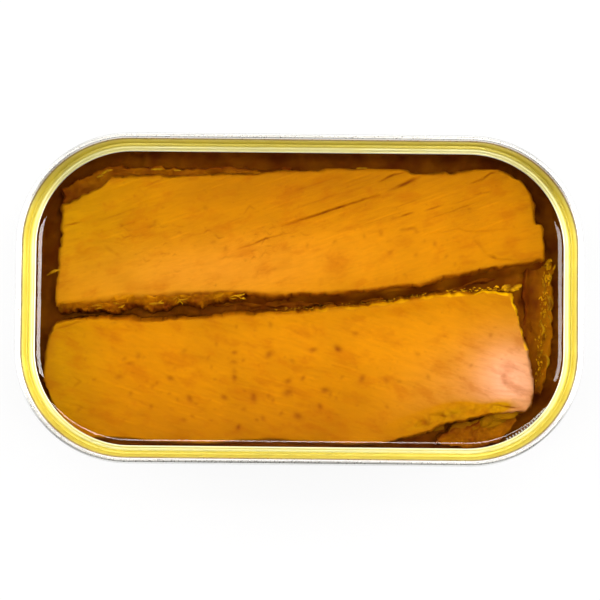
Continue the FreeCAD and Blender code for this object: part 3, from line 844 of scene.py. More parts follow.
class TUNA_OT_fillets(bpy.types.Operator):
    """Lay the two fillets side by side, with the slanting cut between them"""
    bl_idname = "tuna.fillets"
    bl_label = "Fillets"

    def execute(self, context):
        fish = context.scene.tuna_fish
        back = cooked_tuna(fish, "cooked tuna loin, grain rising", (1.8, 9.0), 17)
        front = cooked_tuna(fish, "cooked tuna loin, grain falling", (1.8, 9.0), -16)
        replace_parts(self.back_fillet(fish, back), "fillet_back")
        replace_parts(self.front_fillet(fish, front), "fillet_front")
        return {"FINISHED"}

    def back_fillet(self, fish, flesh):
        """The larger fillet, whose grain rises to the right and which splits between its layers."""
        node = "fillet_back"
        slab = Slab(
            node,
            front=[(0.0, 0.0), (0.055, 0.02), (0.12, 0.045), (0.2, 0.06), (0.27, 0.1), (0.38, 0.107),
                   (0.46, 0.1), (0.53, 0.117), (0.61, 0.13), (0.68, 0.155), (0.735, 0.18), (0.79, 0.235),
                   (0.88, 0.295), (1.0, 0.36)],
            back=[(0.012, 0.725), (0.05, 0.78), (0.095, 0.865), (0.12, 0.92), (0.22, 0.935), (0.32, 0.95),
                  (0.43, 0.965), (0.5, 0.975), (0.6, 1.0), (0.705, 0.995), (0.73, 0.972), (0.81, 0.968),
                  (0.85, 1.0), (0.9, 0.995), (0.945, 0.93)],
            left=[(0.0, 0.0), (-0.005, 0.07), (0.0, 0.2), (0.008, 0.35), (0.014, 0.5), (0.012, 0.62),
                  (0.012, 0.725)],
            right=[(1.0, 0.36), (1.0, 0.45), (0.997, 0.52), (0.995, 0.6), (0.98, 0.615), (0.975, 0.72),
                   (0.968, 0.82), (0.945, 0.93)],
            columns=440, rows=140, seed=fish.seed)
        x, y = slab.x, slab.y
        front_left = inside_box(node, [(0.12, 0.03)])[0]
        slab.round_edges(slab.high[2], 0.7 * MM, 1.9 * patch(x, y, front_left, (26 * MM, 3 * MM)))
        sag = (0.25 + 0.3 * uneven(x, y, 16 * MM, fish.seed + 11, 2)) * MM
        slab.z -= sag * smooth_step(slab.edge, 0, 3 * MM)
        slab.z += uneven(x, y, 2.4 * MM, fish.seed + 15, 3) * 0.09 * MM
        upper = smooth_step(y - 0.12 * x, 9 * MM, 15 * MM)
        ridges = grain(x, y, 17, 9 * MM, fish.fibre * 1.4, fish.seed + 2)
        slab.z += ridges * 0.06 * MM * (0.3 + 0.7 * upper)
        fine = grain(x, y, 17, 4 * MM, fish.fibre * 0.7, fish.seed + 77)
        # darker streaks along the grain: the fibres' own lines, and painted shade in the lows between the
        # ridges
        slab.values["streak"] += (0.42 - 0.28 * ridges - 0.1 * fine) * (0.4 + 0.6 * upper)
        # the long splits between the muscle layers, then shorter ones towards the right-hand end
        for points, width, depth, dark in (
            ([(0.46, 0.58), (0.515, 0.645), (0.57, 0.71), (0.63, 0.78), (0.66, 0.81)], 0.17, 0.6, 0.95),
            ([(0.37, 0.42), (0.4, 0.45), (0.425, 0.49), (0.455, 0.52), (0.495, 0.55)], 0.14, 0.4, 0.7),
            ([(0.655, 0.9), (0.69, 0.96), (0.71, 0.97)], 0.14, 0.4, 0.8),
            ([(0.675, 0.84), (0.71, 0.89), (0.745, 0.95)], 0.24, 0.6, 1.0),
            ([(0.845, 0.9), (0.87, 0.93), (0.885, 0.97), (0.905, 0.985)], 0.17, 0.5, 0.85),
            ([(0.85, 0.815), (0.89, 0.85)], 0.14, 0.35, 0.7),
            ([(0.69, 0.645), (0.73, 0.69)], 0.15, 0.35, 0.75),
            ([(0.75, 0.7), (0.79, 0.745)], 0.13, 0.3, 0.65),
            ([(0.7, 0.56), (0.735, 0.58)], 0.3, 0.3, 0.5),
            ([(0.776, 0.54), (0.82, 0.575), (0.86, 0.56), (0.935, 0.585), (0.98, 0.6)], 0.2, 0.25, 0.28),
            ([(0.85, 0.515), (0.865, 0.45), (0.88, 0.39), (0.9, 0.365), (0.935, 0.36), (1.0, 0.378)],
             0.18, 0.3, 0.34),
            ([(0.4, 0.18), (0.54, 0.186)], 0.1, 0.15, 0.22),
            ([(0.015, 0.565), (0.05, 0.6)], 0.17, 0.35, 0.7),
            ([(0.1, 0.44), (0.115, 0.39), (0.13, 0.35)], 0.3, 0.25, 0.32),
            ([(0.09, 0.47), (0.12, 0.46), (0.15, 0.44)], 0.2, 0.2, 0.26),
        ):
            slab.crack(inside_box(node, points), width * MM, depth * MM, dark)
        rng = np.random.default_rng(fish.seed)
        for index in range(46):
            start_x = rng.uniform(0.06, 0.9)
            start_y = rng.uniform(0.46, 0.9)
            run = rng.uniform(0.03, 0.1)
            line = inside_box(node, [(start_x, start_y), (start_x + run, start_y + run * 1.25)])
            if index % 3:
                slab.ridge(line, 0.14 * MM, rng.uniform(0.05, 0.13) * MM, rng.uniform(0.3, 0.8))
            else:
                slab.crack(line, 0.12 * MM, 0.15 * MM, rng.uniform(0.2, 0.45))
        # small curved tears in the left-hand half
        for index in range(34):
            start_x = rng.uniform(0.08, 0.5)
            start_y = 0.5 + 0.1 * rng.normal() + 0.1 * (start_x - 0.3)
            run = rng.uniform(0.008, 0.026)
            lean = rng.uniform(-2.5, 3.5) * run
            line = inside_box(node, [(start_x, start_y), (start_x + run / 2, start_y + lean),
                                     (start_x + run, start_y + 0.6 * lean)])
            slab.crack(line, 0.13 * MM, 0.16 * MM, rng.uniform(0.3, 0.6))
        spots = inside_box(node, np.column_stack([rng.uniform(0.05, 0.95, 26), rng.uniform(0.12, 0.75, 26)]))
        slab.pits(spots, 0.32 * MM, 0.14 * MM, 0.3)
        spots = inside_box(node, np.column_stack([rng.uniform(0.03, 0.97, 150), rng.uniform(0.1, 0.95, 150)]))
        slab.pits(spots, 0.13 * MM, 0.05 * MM, 0.25)
        # painted light: brighter bands through the middle; the left end is olive; painted shade along the
        # back
        middle = inside_box(node, [(0.3, 0.25), (0.72, 0.35), (0.06, 0.62), (0.5, 0.9)])
        slab.values["light"] += 1.5 * patch(x, y, middle[0], (30 * MM, 6 * MM), 5)
        slab.values["pink"] += 0.05 * patch(x, y, middle[0], (24 * MM, 6 * MM), 5)
        slab.values["light"] += 0.7 * patch(x, y, middle[1], (16 * MM, 6 * MM), 5)
        slab.values["olive"] += 0.8 * patch(x, y, middle[2], (14 * MM, 12 * MM))
        slab.values["hollow"] += 0.22 * patch(x, y, middle[3], (26 * MM, 3.5 * MM), 3)
        return slab.build("back_fillet", flesh)

    def front_fillet(self, fish, flesh):
        """The smaller fillet, whose grain falls to the right and whose front right corner is trimmed."""
        node = "fillet_front"
        slab = Slab(
            node,
            front=[(0.045, 0.17), (0.09, 0.07), (0.15, 0.015), (0.25, 0.0), (0.5, 0.0), (0.62, 0.02),
                   (0.7, 0.075), (0.77, 0.135), (0.81, 0.185), (0.865, 0.215), (0.92, 0.255),
                   (0.985, 0.275)],
            back=[(0.022, 0.78), (0.07, 0.812), (0.135, 0.812), (0.215, 0.805), (0.35, 0.828), (0.48, 0.853),
                  (0.625, 0.892), (0.69, 0.912), (0.755, 0.95), (0.885, 0.995), (0.927, 1.0), (0.953, 0.99)],
            left=[(0.045, 0.17), (0.012, 0.34), (0.0, 0.5), (0.005, 0.66), (0.022, 0.78)],
            right=[(0.985, 0.275), (0.997, 0.33), (1.0, 0.42), (0.995, 0.55), (0.985, 0.68), (0.973, 0.8),
                   (0.962, 0.91), (0.953, 0.99)],
            columns=440, rows=150, seed=fish.seed + 100)
        slab.round_edges(slab.high[2], 0.7 * MM)
        x, y = slab.x, slab.y
        # the strip along the front has sunk deeper, with painted shade on it
        sunk = slab.low[1] + (2.6 + 0.5 * uneven(x, y, 9 * MM, fish.seed + 70, 2)) * MM
        slab.z -= 3.2 * MM * smooth_step(sunk - y, 0, 1.6 * MM)
        slab.values["hollow"] += 0.5 * smooth_step(sunk - y, 0, 1.2 * MM)
        sag = (0.3 + 0.3 * uneven(x, y, 15 * MM, fish.seed + 61, 2)) * MM
        slab.z -= sag * smooth_step(slab.edge, 0, 3 * MM)
        slab.z += uneven(x, y, 2.4 * MM, fish.seed + 65, 3) * 0.09 * MM
        ridges = grain(x, y, -17, 6 * MM, fish.fibre * 1.5, fish.seed + 62)
        lower = smooth_step(-y - 0.1 * x, 8 * MM, 14 * MM)
        slab.z += ridges * 0.05 * MM * (0.4 + 0.6 * lower)
        fine = grain(x, y, -15, 5 * MM, fish.fibre * 0.8, fish.seed + 78)
        # darker streaks along the grain: the fibres' own lines, and painted shade in the lows between the
        # ridges
        slab.values["streak"] += (0.34 - 0.22 * ridges - 0.14 * fine) * (0.4 + 0.6 * lower)
        for points, width, depth, dark in (
            ([(0.915, 0.31), (0.95, 0.3), (0.97, 0.293)], 0.16, 0.45, 0.85),
            ([(0.025, 0.74), (0.055, 0.765), (0.1, 0.815)], 0.18, 0.4, 0.6),
            ([(0.16, 0.53), (0.185, 0.54)], 0.24, 0.25, 0.5),
            ([(0.18, 0.33), (0.206, 0.3), (0.25, 0.25)], 0.1, 0.15, 0.35),
            ([(0.06, 0.47), (0.075, 0.42), (0.062, 0.38)], 0.25, 0.25, 0.3),
            ([(0.04, 0.3), (0.07, 0.28), (0.1, 0.25)], 0.2, 0.25, 0.35),
            ([(0.78, 0.25), (0.82, 0.24), (0.87, 0.27)], 0.3, 0.25, 0.3),
        ):
            slab.crack(inside_box(node, points), width * MM, depth * MM, dark)
        rng = np.random.default_rng(fish.seed + 1)
        # soft brown pits where small bones and vessels ran
        pits = [(0.39, 0.61), (0.46, 0.6), (0.39, 0.46), (0.6, 0.64), (0.55, 0.63), (0.53, 0.46),
                (0.43, 0.34), (0.37, 0.34), (0.5, 0.37), (0.65, 0.46), (0.565, 0.29), (0.52, 0.23),
                (0.5, 0.44), (0.4, 0.16), (0.3, 0.33), (0.26, 0.45)]
        slab.pits(inside_box(node, pits), 0.5 * MM, 0.22 * MM, 0.6)
        slab.pits(inside_box(node, [(0.575, 0.385)]), 0.8 * MM, 0.25 * MM, 0.65)
        places = np.column_stack([rng.uniform(0.06, 0.95, 50), rng.uniform(0.16, 0.8, 50)])
        slab.pits(inside_box(node, places), 0.34 * MM, 0.14 * MM, 0.34)
        places = np.column_stack([rng.uniform(0.03, 0.97, 170), rng.uniform(0.15, 0.95, 170)])
        slab.pits(inside_box(node, places), 0.13 * MM, 0.05 * MM, 0.25)
        for index in range(60):
            start_x = rng.uniform(0.12, 0.92)
            start_y = rng.uniform(0.18, 0.62)
            run = rng.uniform(0.02, 0.07)
            line = inside_box(node, [(start_x, start_y), (start_x + run, start_y - run * 0.85)])
            if index % 3:
                slab.ridge(line, 0.13 * MM, rng.uniform(0.04, 0.1) * MM, rng.uniform(0.3, 0.7))
            else:
                slab.crack(line, 0.11 * MM, 0.13 * MM, rng.uniform(0.15, 0.35))
        # raised fibres with painted highlights at the right-hand end
        for height in (0.44, 0.41, 0.382, 0.36):
            slab.ridge(inside_box(node, [(0.905, height), (0.95, height - 0.008), (0.995, height + 0.004)]),
                       0.13 * MM, 0.08 * MM, 0.5)
        # painted light: a thin yellow fringe along the back edge, wider to the right, where light shines
        # through
        share = (x - slab.low[0]) / (slab.high[0] - slab.low[0])
        width = 0.25 + 0.5 * smooth_step(share, 0.45, 0.97) + 0.3 * uneven(x, y, 1.6 * MM, fish.seed + 90, 2)
        width = np.maximum(width, 0.06) * MM
        from_back = np.where(slab.row > slab.rows / 2, slab.edge, 1.0)
        patchy = smooth_step(uneven(x, y, 2.4 * MM, fish.seed + 95, 2), -0.5, 0.1)
        patchy = patchy * smooth_step(share, 0.4, 0.5)
        bright = (0.35 + 0.65 * smooth_step(share, 0.7, 0.95)) * patchy
        slab.values["gold"] += bright * (1 - smooth_step(from_back, width * 0.6, width))
        # painted light: a yellow glow at the edge of the back right corner
        corner = inside_box(node, [(0.965, 0.93)])[0]
        near = patch(x, y, corner, (1.2 * MM, 3.2 * MM), 10)
        at_edge = 1 - smooth_step(slab.edge, 0.2 * MM, 0.7 * MM)
        slab.values["gold"] += 0.9 * near * at_edge * (x > corner[0] - 1.5 * MM)
        middle = inside_box(node, [(0.955, 0.45), (0.04, 0.5), (0.55, 0.72), (0.4, 0.1), (0.8, 0.55)])
        slab.values["pink"] += patch(x, y, middle[0], (5.5 * MM, 6 * MM), 30)
        slab.values["pink"] += 0.22 * patch(x, y, middle[0], (14 * MM, 7.5 * MM), 15)
        # painted shade along the left-hand end
        left_side = 1 - smooth_step(x - slab.low[0], 0.5 * MM, 3.5 * MM)
        slab.values["hollow"] += 0.4 * left_side * (0.6 + 0.6 * uneven(x, y, 2.5 * MM, fish.seed + 150, 2))
        slab.values["olive"] += 0.8 * patch(x, y, middle[1], (7 * MM, 14 * MM))
        # painted light: brighter patches in the middle and to the right; painted shade along the front
        slab.values["light"] += 0.8 * patch(x, y, middle[2], (36 * MM, 6 * MM), 3)
        slab.values["light"] += patch(x, y, middle[4], (12 * MM, 9 * MM))
        slab.values["hollow"] += 0.3 * patch(x, y, middle[3], (36 * MM, 6 * MM))
        # where the trimmed corner is coming apart, with painted shade in its crannies
        loose = inside_box(node, [(0.84, 0.26), (0.93, 0.3), (0.77, 0.19)])
        for place, reach in zip(loose, ((4.2 * MM, 1.3 * MM), (3.0 * MM, 1.2 * MM), (3.0 * MM, 1.0 * MM))):
            spot = patch(x, y, place, reach, 12)
            slab.values["olive"] += spot
            slab.values["pink"] -= spot
            slab.z += 0.5 * MM * spot * uneven(x, y, 1.2 * MM, fish.seed + 130, 2)
            slab.values["hollow"] += 0.45 * spot * np.clip(uneven(x, y, 0.9 * MM, fish.seed + 140, 2), 0, 1)
        return slab.build("front_fillet", flesh)


class TUNA_OT_flakes(bpy.types.Operator):
    """Lay the lower flakes beside and between the fillets"""
    bl_idname = "tuna.flakes"
    bl_label = "Flakes"

    def execute(self, context):
        fish = context.scene.tuna_fish
        flesh = cooked_tuna(fish, "sunk tuna flake", (3.0, 12.0))
        # for each node: how far its top has dropped in millimetres, how much painted shade it gets, and its
        # edges
        plans = {
            "flake_side": (0.6, 0.56, dict(
                front=[(0.0, 0.05), (0.3, 0.3), (0.7, 0.58), (1.0, 0.86)],
                back=[(0.0, 0.45), (0.12, 0.8), (0.3, 1.0), (0.7, 0.95), (1.0, 0.93)],
                left=[(0.0, 0.05), (0.02, 0.25), (0.0, 0.45)],
                right=[(1.0, 0.86), (1.0, 0.9), (1.0, 0.93)])),
            "flake_end": (0.2, -0.05, dict(
                front=[(0.36, 0.0), (0.45, 0.02), (0.52, 0.0)],
                back=[(0.1, 0.95), (0.5, 1.0), (0.9, 0.97)],
                left=[(0.36, 0.0), (0.17, 0.3), (0.06, 0.6), (0.1, 0.95)],
                right=[(0.52, 0.0), (0.86, 0.3), (1.0, 0.6), (0.9, 0.97)])),
            "flake_trim": (0.7, 0.45, dict(
                front=[(0.0, 0.16), (0.3, 0.0), (0.7, 0.15), (0.95, 0.55)],
                back=[(0.0, 0.24), (0.3, 0.62), (0.7, 0.95), (1.0, 1.0)],
                left=[(0.0, 0.16), (0.01, 0.2), (0.0, 0.24)],
                right=[(0.95, 0.55), (1.0, 0.8), (1.0, 1.0)])),
            "flake_gap": (1.6, 0.5, dict(
                front=[(0.0, 0.12), (0.4, 0.1), (0.8, 0.38), (1.0, 0.8)],
                back=[(0.0, 0.18), (0.4, 0.5), (0.8, 0.85), (1.0, 0.9)],
                left=[(0.0, 0.12), (0.0, 0.15), (0.0, 0.18)],
                right=[(1.0, 0.8), (1.0, 0.85), (1.0, 0.9)])),
        }
        for number, (node, (drop, dark, edges)) in enumerate(plans.items()):
            slab = Slab(node, columns=150, rows=50, seed=fish.seed + 200 + number * 17, ragged=2.0, **edges)
            x, y = slab.x, slab.y
            slab.round_edges(slab.high[2] - drop * MM, 0.6 * MM)
            sag = (0.5 + 0.5 * uneven(x, y, 4 * MM, slab.seed)) * MM
            slab.z -= sag * smooth_step(slab.edge, 0, 1.5 * MM)
            slab.z += 0.35 * MM * uneven(x, y, 1.4 * MM, slab.seed + 4)
            slab.values["hollow"] += dark + 0.35 * uneven(x, y, 2.2 * MM, slab.seed + 6)
            # the end flake: painted shade against the fillet, painted light to its right
            if node == "flake_end":
                share = (x - slab.low[0]) / (slab.high[0] - slab.low[0])
                inner = 0.75 * (1 - smooth_step(share, 0.3, 0.75))
                slab.values["hollow"] += inner - 0.3 * smooth_step(share, 0.55, 0.8)
                slab.values["light"] += smooth_step(share, 0.5, 0.8)
            piece = slab.build(node.replace("flake", "sunk_flake"), flesh, layers=5)
            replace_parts(piece, node)
        return {"FINISHED"}


def morsel(rng, place, size, turn, stretch, height=0.7):
    """One irregular closed crumb: a rounded block with its sides pushed in and out."""
    points = []
    faces = []
    rings, around = 4, 7
    lumps = rng.uniform(0.75, 1.25, (rings + 1, around))
    for ring in range(rings + 1):
        lean = math.pi * (ring + 0.35) / (rings + 0.7)
        for step in range(around):
            angle = 2 * math.pi * step / around
            reach = lumps[ring, step] * size / 2
            points.append((reach * math.sin(lean) * math.cos(angle) * stretch,
                           reach * math.sin(lean) * math.sin(angle), reach * math.cos(lean) * height))
    for ring in range(rings):
        for step in range(around):
            beside = (step + 1) % around
            faces.append((ring * around + step, (ring + 1) * around + step,
                          (ring + 1) * around + beside, ring * around + beside))
    faces.append(tuple(range(around)))
    faces.append(tuple(rings * around + around - 1 - step for step in range(around)))
    rotated = np.array(points) @ np.array(Matrix.Rotation(turn, 3, "Z")).T
    return rotated + np.array(place), faces


def shred(rng, path, width):
    """A thin thread of flesh along a bent line, thinner at its ends and uneven between."""
    around = 6
    line = along_curve(path, 16)
    points = []
    faces = []
    sides = np.gradient(line, axis=0)
    sides /= np.linalg.norm(sides, axis=1)[:, None]
    across = np.stack([-sides[:, 1], sides[:, 0], np.zeros(len(line))], axis=1)
    up = np.cross(sides, across)
    for index, centre in enumerate(line):
        share = index / (len(line) - 1)
        reach = width / 2 * (0.25 + 0.75 * math.sin(math.pi * (0.08 + 0.84 * share)))
        reach *= rng.uniform(0.7, 1.3)
        for step in range(around):
            angle = 2 * math.pi * step / around
            side = math.cos(angle) * across[index] + 0.6 * math.sin(angle) * up[index]
            points.append(centre + reach * side)
    for ring in range(len(line) - 1):
        for step in range(around):
            beside = (step + 1) % around
            faces.append((ring * around + step, ring * around + beside,
                          (ring + 1) * around + beside, (ring + 1) * around + step))
    faces.append(tuple(reversed(range(around))))
    faces.append(tuple((len(line) - 1) * around + step for step in range(around)))
    return np.array(points), faces


def join_small(name, parts, material):
    """Many small closed meshes as one piece."""
    vertices = []
    faces = []
    for points, sides in parts:
        start = len(vertices)
        vertices.extend(points)
        faces.extend(tuple(start + corner for corner in side) for side in sides)
    return make_object(name, vertices, faces, [material], smooth_angle=80)


class TUNA_OT_settled(bpy.types.Operator):
    """Fill the narrow spaces round the fish with the soft brown flesh that has settled there"""
    bl_idname = "tuna.settled"
    bl_label = "Settled flesh"

    def execute(self, context):
        fish = context.scene.tuna_fish
        tin = context.scene.tuna_tin
        low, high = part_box("oil")
        level = high[2]
        pitch = 0.45 * MM
        columns = int((high[0] - low[0]) / pitch)
        rows = int((high[1] - low[1]) / pitch)
        x = low[0] + pitch * np.arange(columns + 1)[:, None] + np.zeros((1, rows + 1))
        y = low[1] + pitch * np.arange(rows + 1)[None, :] + np.zeros((columns + 1, 1))
        lumps = 7.3 + 0.8 * uneven(x, y, 4.5 * MM, fish.seed + 300)
        lumps = lumps + 0.3 * uneven(x, y, 1.1 * MM, fish.seed + 310)
        top = level - lumps * MM
        # higher beside the front fillet's right-hand end and in front of its trimmed corner
        top += 3.0 * MM * patch(x, y, (41.2 * MM, -3 * MM), (3.2 * MM, 9 * MM), 8)
        top += 1.8 * MM * patch(x, y, (31 * MM, -25 * MM), (13 * MM, 3 * MM), 8)
        # flesh banked up against the cut face of the back fillet
        foot = inside_box("fillet_back", [(0.4, 0.105), (0.53, 0.117), (0.61, 0.13), (0.68, 0.155),
                                          (0.735, 0.18), (0.79, 0.235), (0.88, 0.295), (1.0, 0.36)])
        away = distance_to_line(x, y, foot)[0]
        top += 3.0 * MM * (1 - smooth_step(away, 0, 2.2 * MM))
        # one cell too far, then pulled back to the wall, so that the bed ends along a smooth line
        inside = self.inside_wall(x, y, high[0] + pitch, high[1] + pitch, tin.corner - 0.9 * MM + pitch)
        free = inside & ~self.under_fish(x, y, level, top)
        grown = free.copy()
        for shift in ((1, 0), (-1, 0), (0, 1), (0, -1)):
            grown |= np.roll(free, shift, axis=(0, 1))
        grown &= inside
        cells = grown[:-1, :-1] & grown[1:, :-1] & grown[1:, 1:] & grown[:-1, 1:]
        vertices = np.concatenate([np.stack([x, y, top], axis=2).reshape(-1, 3),
                                   np.stack([x, y, top - 1.5 * MM], axis=2).reshape(-1, 3)])
        keep_inside(vertices, FISH_INSET)
        number = np.arange((columns + 1) * (rows + 1)).reshape(columns + 1, rows + 1)
        below = (columns + 1) * (rows + 1)
        faces = []
        for i, j in np.argwhere(cells):
            a, b, c, d = number[i, j], number[i + 1, j], number[i + 1, j + 1], number[i, j + 1]
            faces.append((a, b, c, d))
            faces.append((d + below, c + below, b + below, a + below))
            sides = (((i, j - 1), a, b), ((i + 1, j), b, c), ((i, j + 1), c, d), ((i - 1, j), d, a))
            for side, start, stop in sides:
                beside = 0 <= side[0] < columns and 0 <= side[1] < rows and cells[side]
                if not beside:
                    faces.append((start, start + below, stop + below, stop))
        used = sorted({corner for face in faces for corner in face})
        renamed = {old: new for new, old in enumerate(used)}
        faces = [tuple(renamed[corner] for corner in face) for face in faces]
        flesh = cooked_tuna(fish, "settled tuna", (0.0, 12.0))
        bed = make_object("settled_flesh", vertices[used], faces, [flesh], smooth_angle=80)
        # painted shade over the bed, uneven
        tones = 0.5 + 0.4 * uneven(vertices[used, 0], vertices[used, 1], 3.5 * MM, fish.seed + 320)
        store(bed, "hollow", np.clip(tones, 0, 1))
        return {"FINISHED"}

    def inside_wall(self, x, y, half_length, half_width, corner):
        """Whether each place lies inside a rounded rectangle."""
        across = np.maximum(np.abs(x) - (half_length - corner), 0)
        along = np.maximum(np.abs(y) - (half_width - corner), 0)
        return np.hypot(across, along) < corner

    def under_fish(self, x, y, level, top):
        """Where some piece of fish lies over the bed."""
        names = ("back_fillet", "front_fillet", "sunk_flake")
        pieces = [item for item in bpy.data.objects if item.name.startswith(names)]
        blocked = np.zeros(x.shape, bool)
        for index in np.ndindex(x.shape):
            start = Vector((x[index], y[index], level))
            for piece in pieces:
                hit, place = piece.ray_cast(start, Vector((0, 0, -1)))[:2]
                if hit and place[2] > top[index]:
                    blocked[index] = True
                    break
        return blocked


class TUNA_OT_crumbs(bpy.types.Operator):
    """Scatter the golden crumbs along the gap and the right-hand end, and the loose shreds"""
    bl_idname = "tuna.crumbs"
    bl_label = "Crumbs and shreds"

    def execute(self, context):
        fish = context.scene.tuna_fish
        rng = np.random.default_rng(fish.seed + 5)
        gold = loose_flesh(fish)
        parts = self.crumbs(rng)
        bits = join_small("golden_crumbs", parts, gold)
        along = np.concatenate([points[:, 0] for points, sides in parts])
        # painted light: the crumbs glow yellower to the right, the shreds a little
        store(bits, "gold", smooth_step(along, 12 * MM, 39 * MM))
        threads = join_small("loose_shreds", self.shreds(rng), gold)
        store(threads, "gold", np.full(len(threads.data.vertices), 0.3))
        torn = cooked_tuna(fish, "torn tuna flesh", (1.5, 8.0))
        self.slope(fish, torn)
        knobs = join_small("olive_knobs", self.knobs(rng), torn)
        store(knobs, "olive", np.ones(len(knobs.data.vertices)))
        # a little painted shade on the knobs
        store(knobs, "hollow", np.full(len(knobs.data.vertices), 0.2))
        return {"FINISHED"}

    def crumbs(self, rng):
        """Bits against the front fillet's back edge, larger to the right, and a column down the end flake."""
        parts = []
        low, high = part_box("fillet_front")
        top = high[2]
        for index in range(230):
            share = 0.45 + 0.52 * rng.random() ** 0.8
            x = low[0] + (high[0] - low[0]) * share
            edge = np.interp(share, (0.45, 0.62, 0.75, 0.88, 0.97), (0.85, 0.89, 0.945, 0.995, 1.0))
            y = low[1] + (high[1] - low[1]) * edge
            size = 0.12 + 0.2 * rng.random() ** 3
            size = (size + 1.2 * max(0, share - 0.9) / 0.07 * rng.random() ** 3) * MM
            y += (0.1 + 0.7 * rng.random() ** 2) * MM + size * 0.2
            z = top - (1.2 + 2.4 * rng.random()) * MM
            parts.append(morsel(rng, (x, y, z), size, rng.uniform(-0.2, 0.5), rng.uniform(1.0, 2.8), 0.4))
        low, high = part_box("flake_end")
        for index in range(260):
            share = rng.random() ** 0.8
            x = low[0] + (high[0] - low[0]) * (0.5 + 0.28 * share + 0.07 * rng.normal())
            y = low[1] + (high[1] - low[1]) * (0.04 + 0.94 * share)
            size = 0.12 + 0.4 * rng.random() ** 3
            size = (size + 0.3 * max(0, share - 0.8) / 0.2 * rng.random()) * MM
            z = high[2] + (-0.6 + 1.0 * rng.random()) * MM
            parts.append(morsel(rng, (x, y, z), size, rng.uniform(1.0, 2.1), rng.uniform(1.0, 2.5)))
        return parts

    def edge_share(self, share):
        """How far back the back fillet's front edge lies, at a share of its length in the left half."""
        return np.interp(share, (0, 0.055, 0.12, 0.2, 0.27, 0.38, 0.46),
                         (0, 0.02, 0.045, 0.06, 0.1, 0.107, 0.1))

    def slope(self, fish, torn):
        """The torn flesh that slopes down into the gap along the left-hand half of the back fillet."""
        node = "fillet_back"
        shares = (0.004, 0.03, 0.06, 0.12, 0.16, 0.2, 0.25, 0.29, 0.33, 0.36, 0.385)
        reaches = (0.03, 0.045, 0.05, 0.068, 0.05, 0.066, 0.052, 0.066, 0.05, 0.052, 0.012)
        top = [(share, self.edge_share(share) + 0.03) for share in shares]
        foot = [(share, self.edge_share(share) - reach) for share, reach in zip(shares, reaches)]
        slab = Slab(node, front=foot, back=top, left=[foot[0], (0.002, -0.01), top[0]],
                    right=[foot[-1], (0.39, 0.115), top[-1]],
                    columns=260, rows=26, seed=fish.seed + 400, ragged=1.6)
        slab.low = (slab.low[0], slab.low[1] - 3 * MM, slab.low[2])
        x, y = slab.x, slab.y
        down = 1 - slab.row / (slab.rows - 1)
        lumps = 0.45 * uneven(x, y, 1.7 * MM, slab.seed + 1)
        lumps = lumps + 0.3 * grain(x, y, 12, 3 * MM, 0.5 * MM, slab.seed + 2)
        fall = 1.2 + 2.5 * down + lumps
        slab.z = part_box("oil")[1][2] - np.maximum(fall, 1.1) * MM
        # painted shade, darker further down the slope
        slab.values["hollow"] += 0.02 + 0.6 * down + 0.45 * uneven(x, y, 1.3 * MM, slab.seed + 3)
        slab.values["olive"] += 0.5 * np.clip(uneven(x, y, 3 * MM, slab.seed + 4), 0, 1)
        return slab.build("torn_slope", torn, layers=4)

    def knobs(self, rng):
        """Soft lumps where the front right corner of the front fillet is coming apart."""
        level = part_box("oil")[1][2]
        parts = []
        # middle and spread in plan, count and depth under the oil, in millimetres
        for x, y, spread_x, spread_y, count, depth in (
            (33.0, -23.8, 3.2, 0.5, 14, 4.6),
            (36.3, -22.5, 1.4, 0.5, 8, 4.0),
            (38.9, -20.9, 1.2, 0.8, 10, 2.9),
            (25.0, -23.4, 2.0, 0.3, 5, 4.6),
            (20.6, -23.0, 2.4, 0.3, 5, 4.0),
        ):
            for index in range(count):
                place = ((x + spread_x * rng.uniform(-1, 1)) * MM, (y + spread_y * rng.uniform(-1, 1)) * MM,
                         level - (depth + 0.5 * rng.uniform(-1, 1)) * MM)
                size = rng.uniform(1.0, 2.4) * MM
                parts.append(morsel(rng, place, size, rng.uniform(0.0, 0.6), rng.uniform(1.2, 2.6), 0.3))
        return parts

    def shreds(self, rng):
        """Threads at the back fillet's left end, down the slope, along its back edge and on the end flake."""
        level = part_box("oil")[1][2]
        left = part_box("fillet_back")[0][0]
        path = [(left + 1.2 * MM, 5.2 * MM, level - 1.3 * MM), (left - 0.2 * MM, 4.9 * MM, level - 0.8 * MM),
                (left - 1.6 * MM, 4.1 * MM, level - 1.2 * MM)]
        parts = [shred(rng, path, 0.5 * MM)]
        for share in (0.07, 0.12, 0.2, 0.235, 0.25, 0.345, 0.375):
            x, y = inside_box("fillet_back", [(share, self.edge_share(share))])[0]
            for index in range(2):
                run = rng.uniform(1.0, 3.0) * MM
                start = (x + rng.normal() * 0.6 * MM, y - rng.uniform(0.0, 1.3) * MM,
                         level - rng.uniform(1.9, 3.0) * MM)
                bend = (start[0] + run / 2, start[1] + rng.uniform(-0.3, 0.5) * MM, start[2] + 0.3 * MM)
                stop = (start[0] + run, start[1] + rng.uniform(-0.2, 0.5) * MM, start[2])
                parts.append(shred(rng, [start, bend, stop], rng.uniform(0.2, 0.45) * MM))
        for x, y, run, lift, width in (
            (-37.6, 23.3, 2.1, 0.9, 0.5),
            (-38.4, 22.7, 1.2, 0.4, 0.4),
            (-28.2, 24.3, 2.2, 0.1, 0.4),
            (-24.0, 24.2, 1.4, 0.0, 0.3),
            (10.5, 24.9, 2.0, 0.1, 0.4),
        ):
            z = level - 2.0 * MM
            parts.append(shred(rng, [(x * MM, y * MM, z), ((x + run / 2) * MM, (y + lift * 0.7) * MM, z),
                                     ((x + run) * MM, (y + lift) * MM, z)], width * MM))
        end_low, end_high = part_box("flake_end")
        for index in range(7):
            y = rng.uniform(end_low[1], end_high[1] - 4 * MM)
            x = rng.uniform(end_low[0] + 3.6 * MM, end_high[0] - 0.8 * MM)
            z = level - rng.uniform(2.8, 4.2) * MM
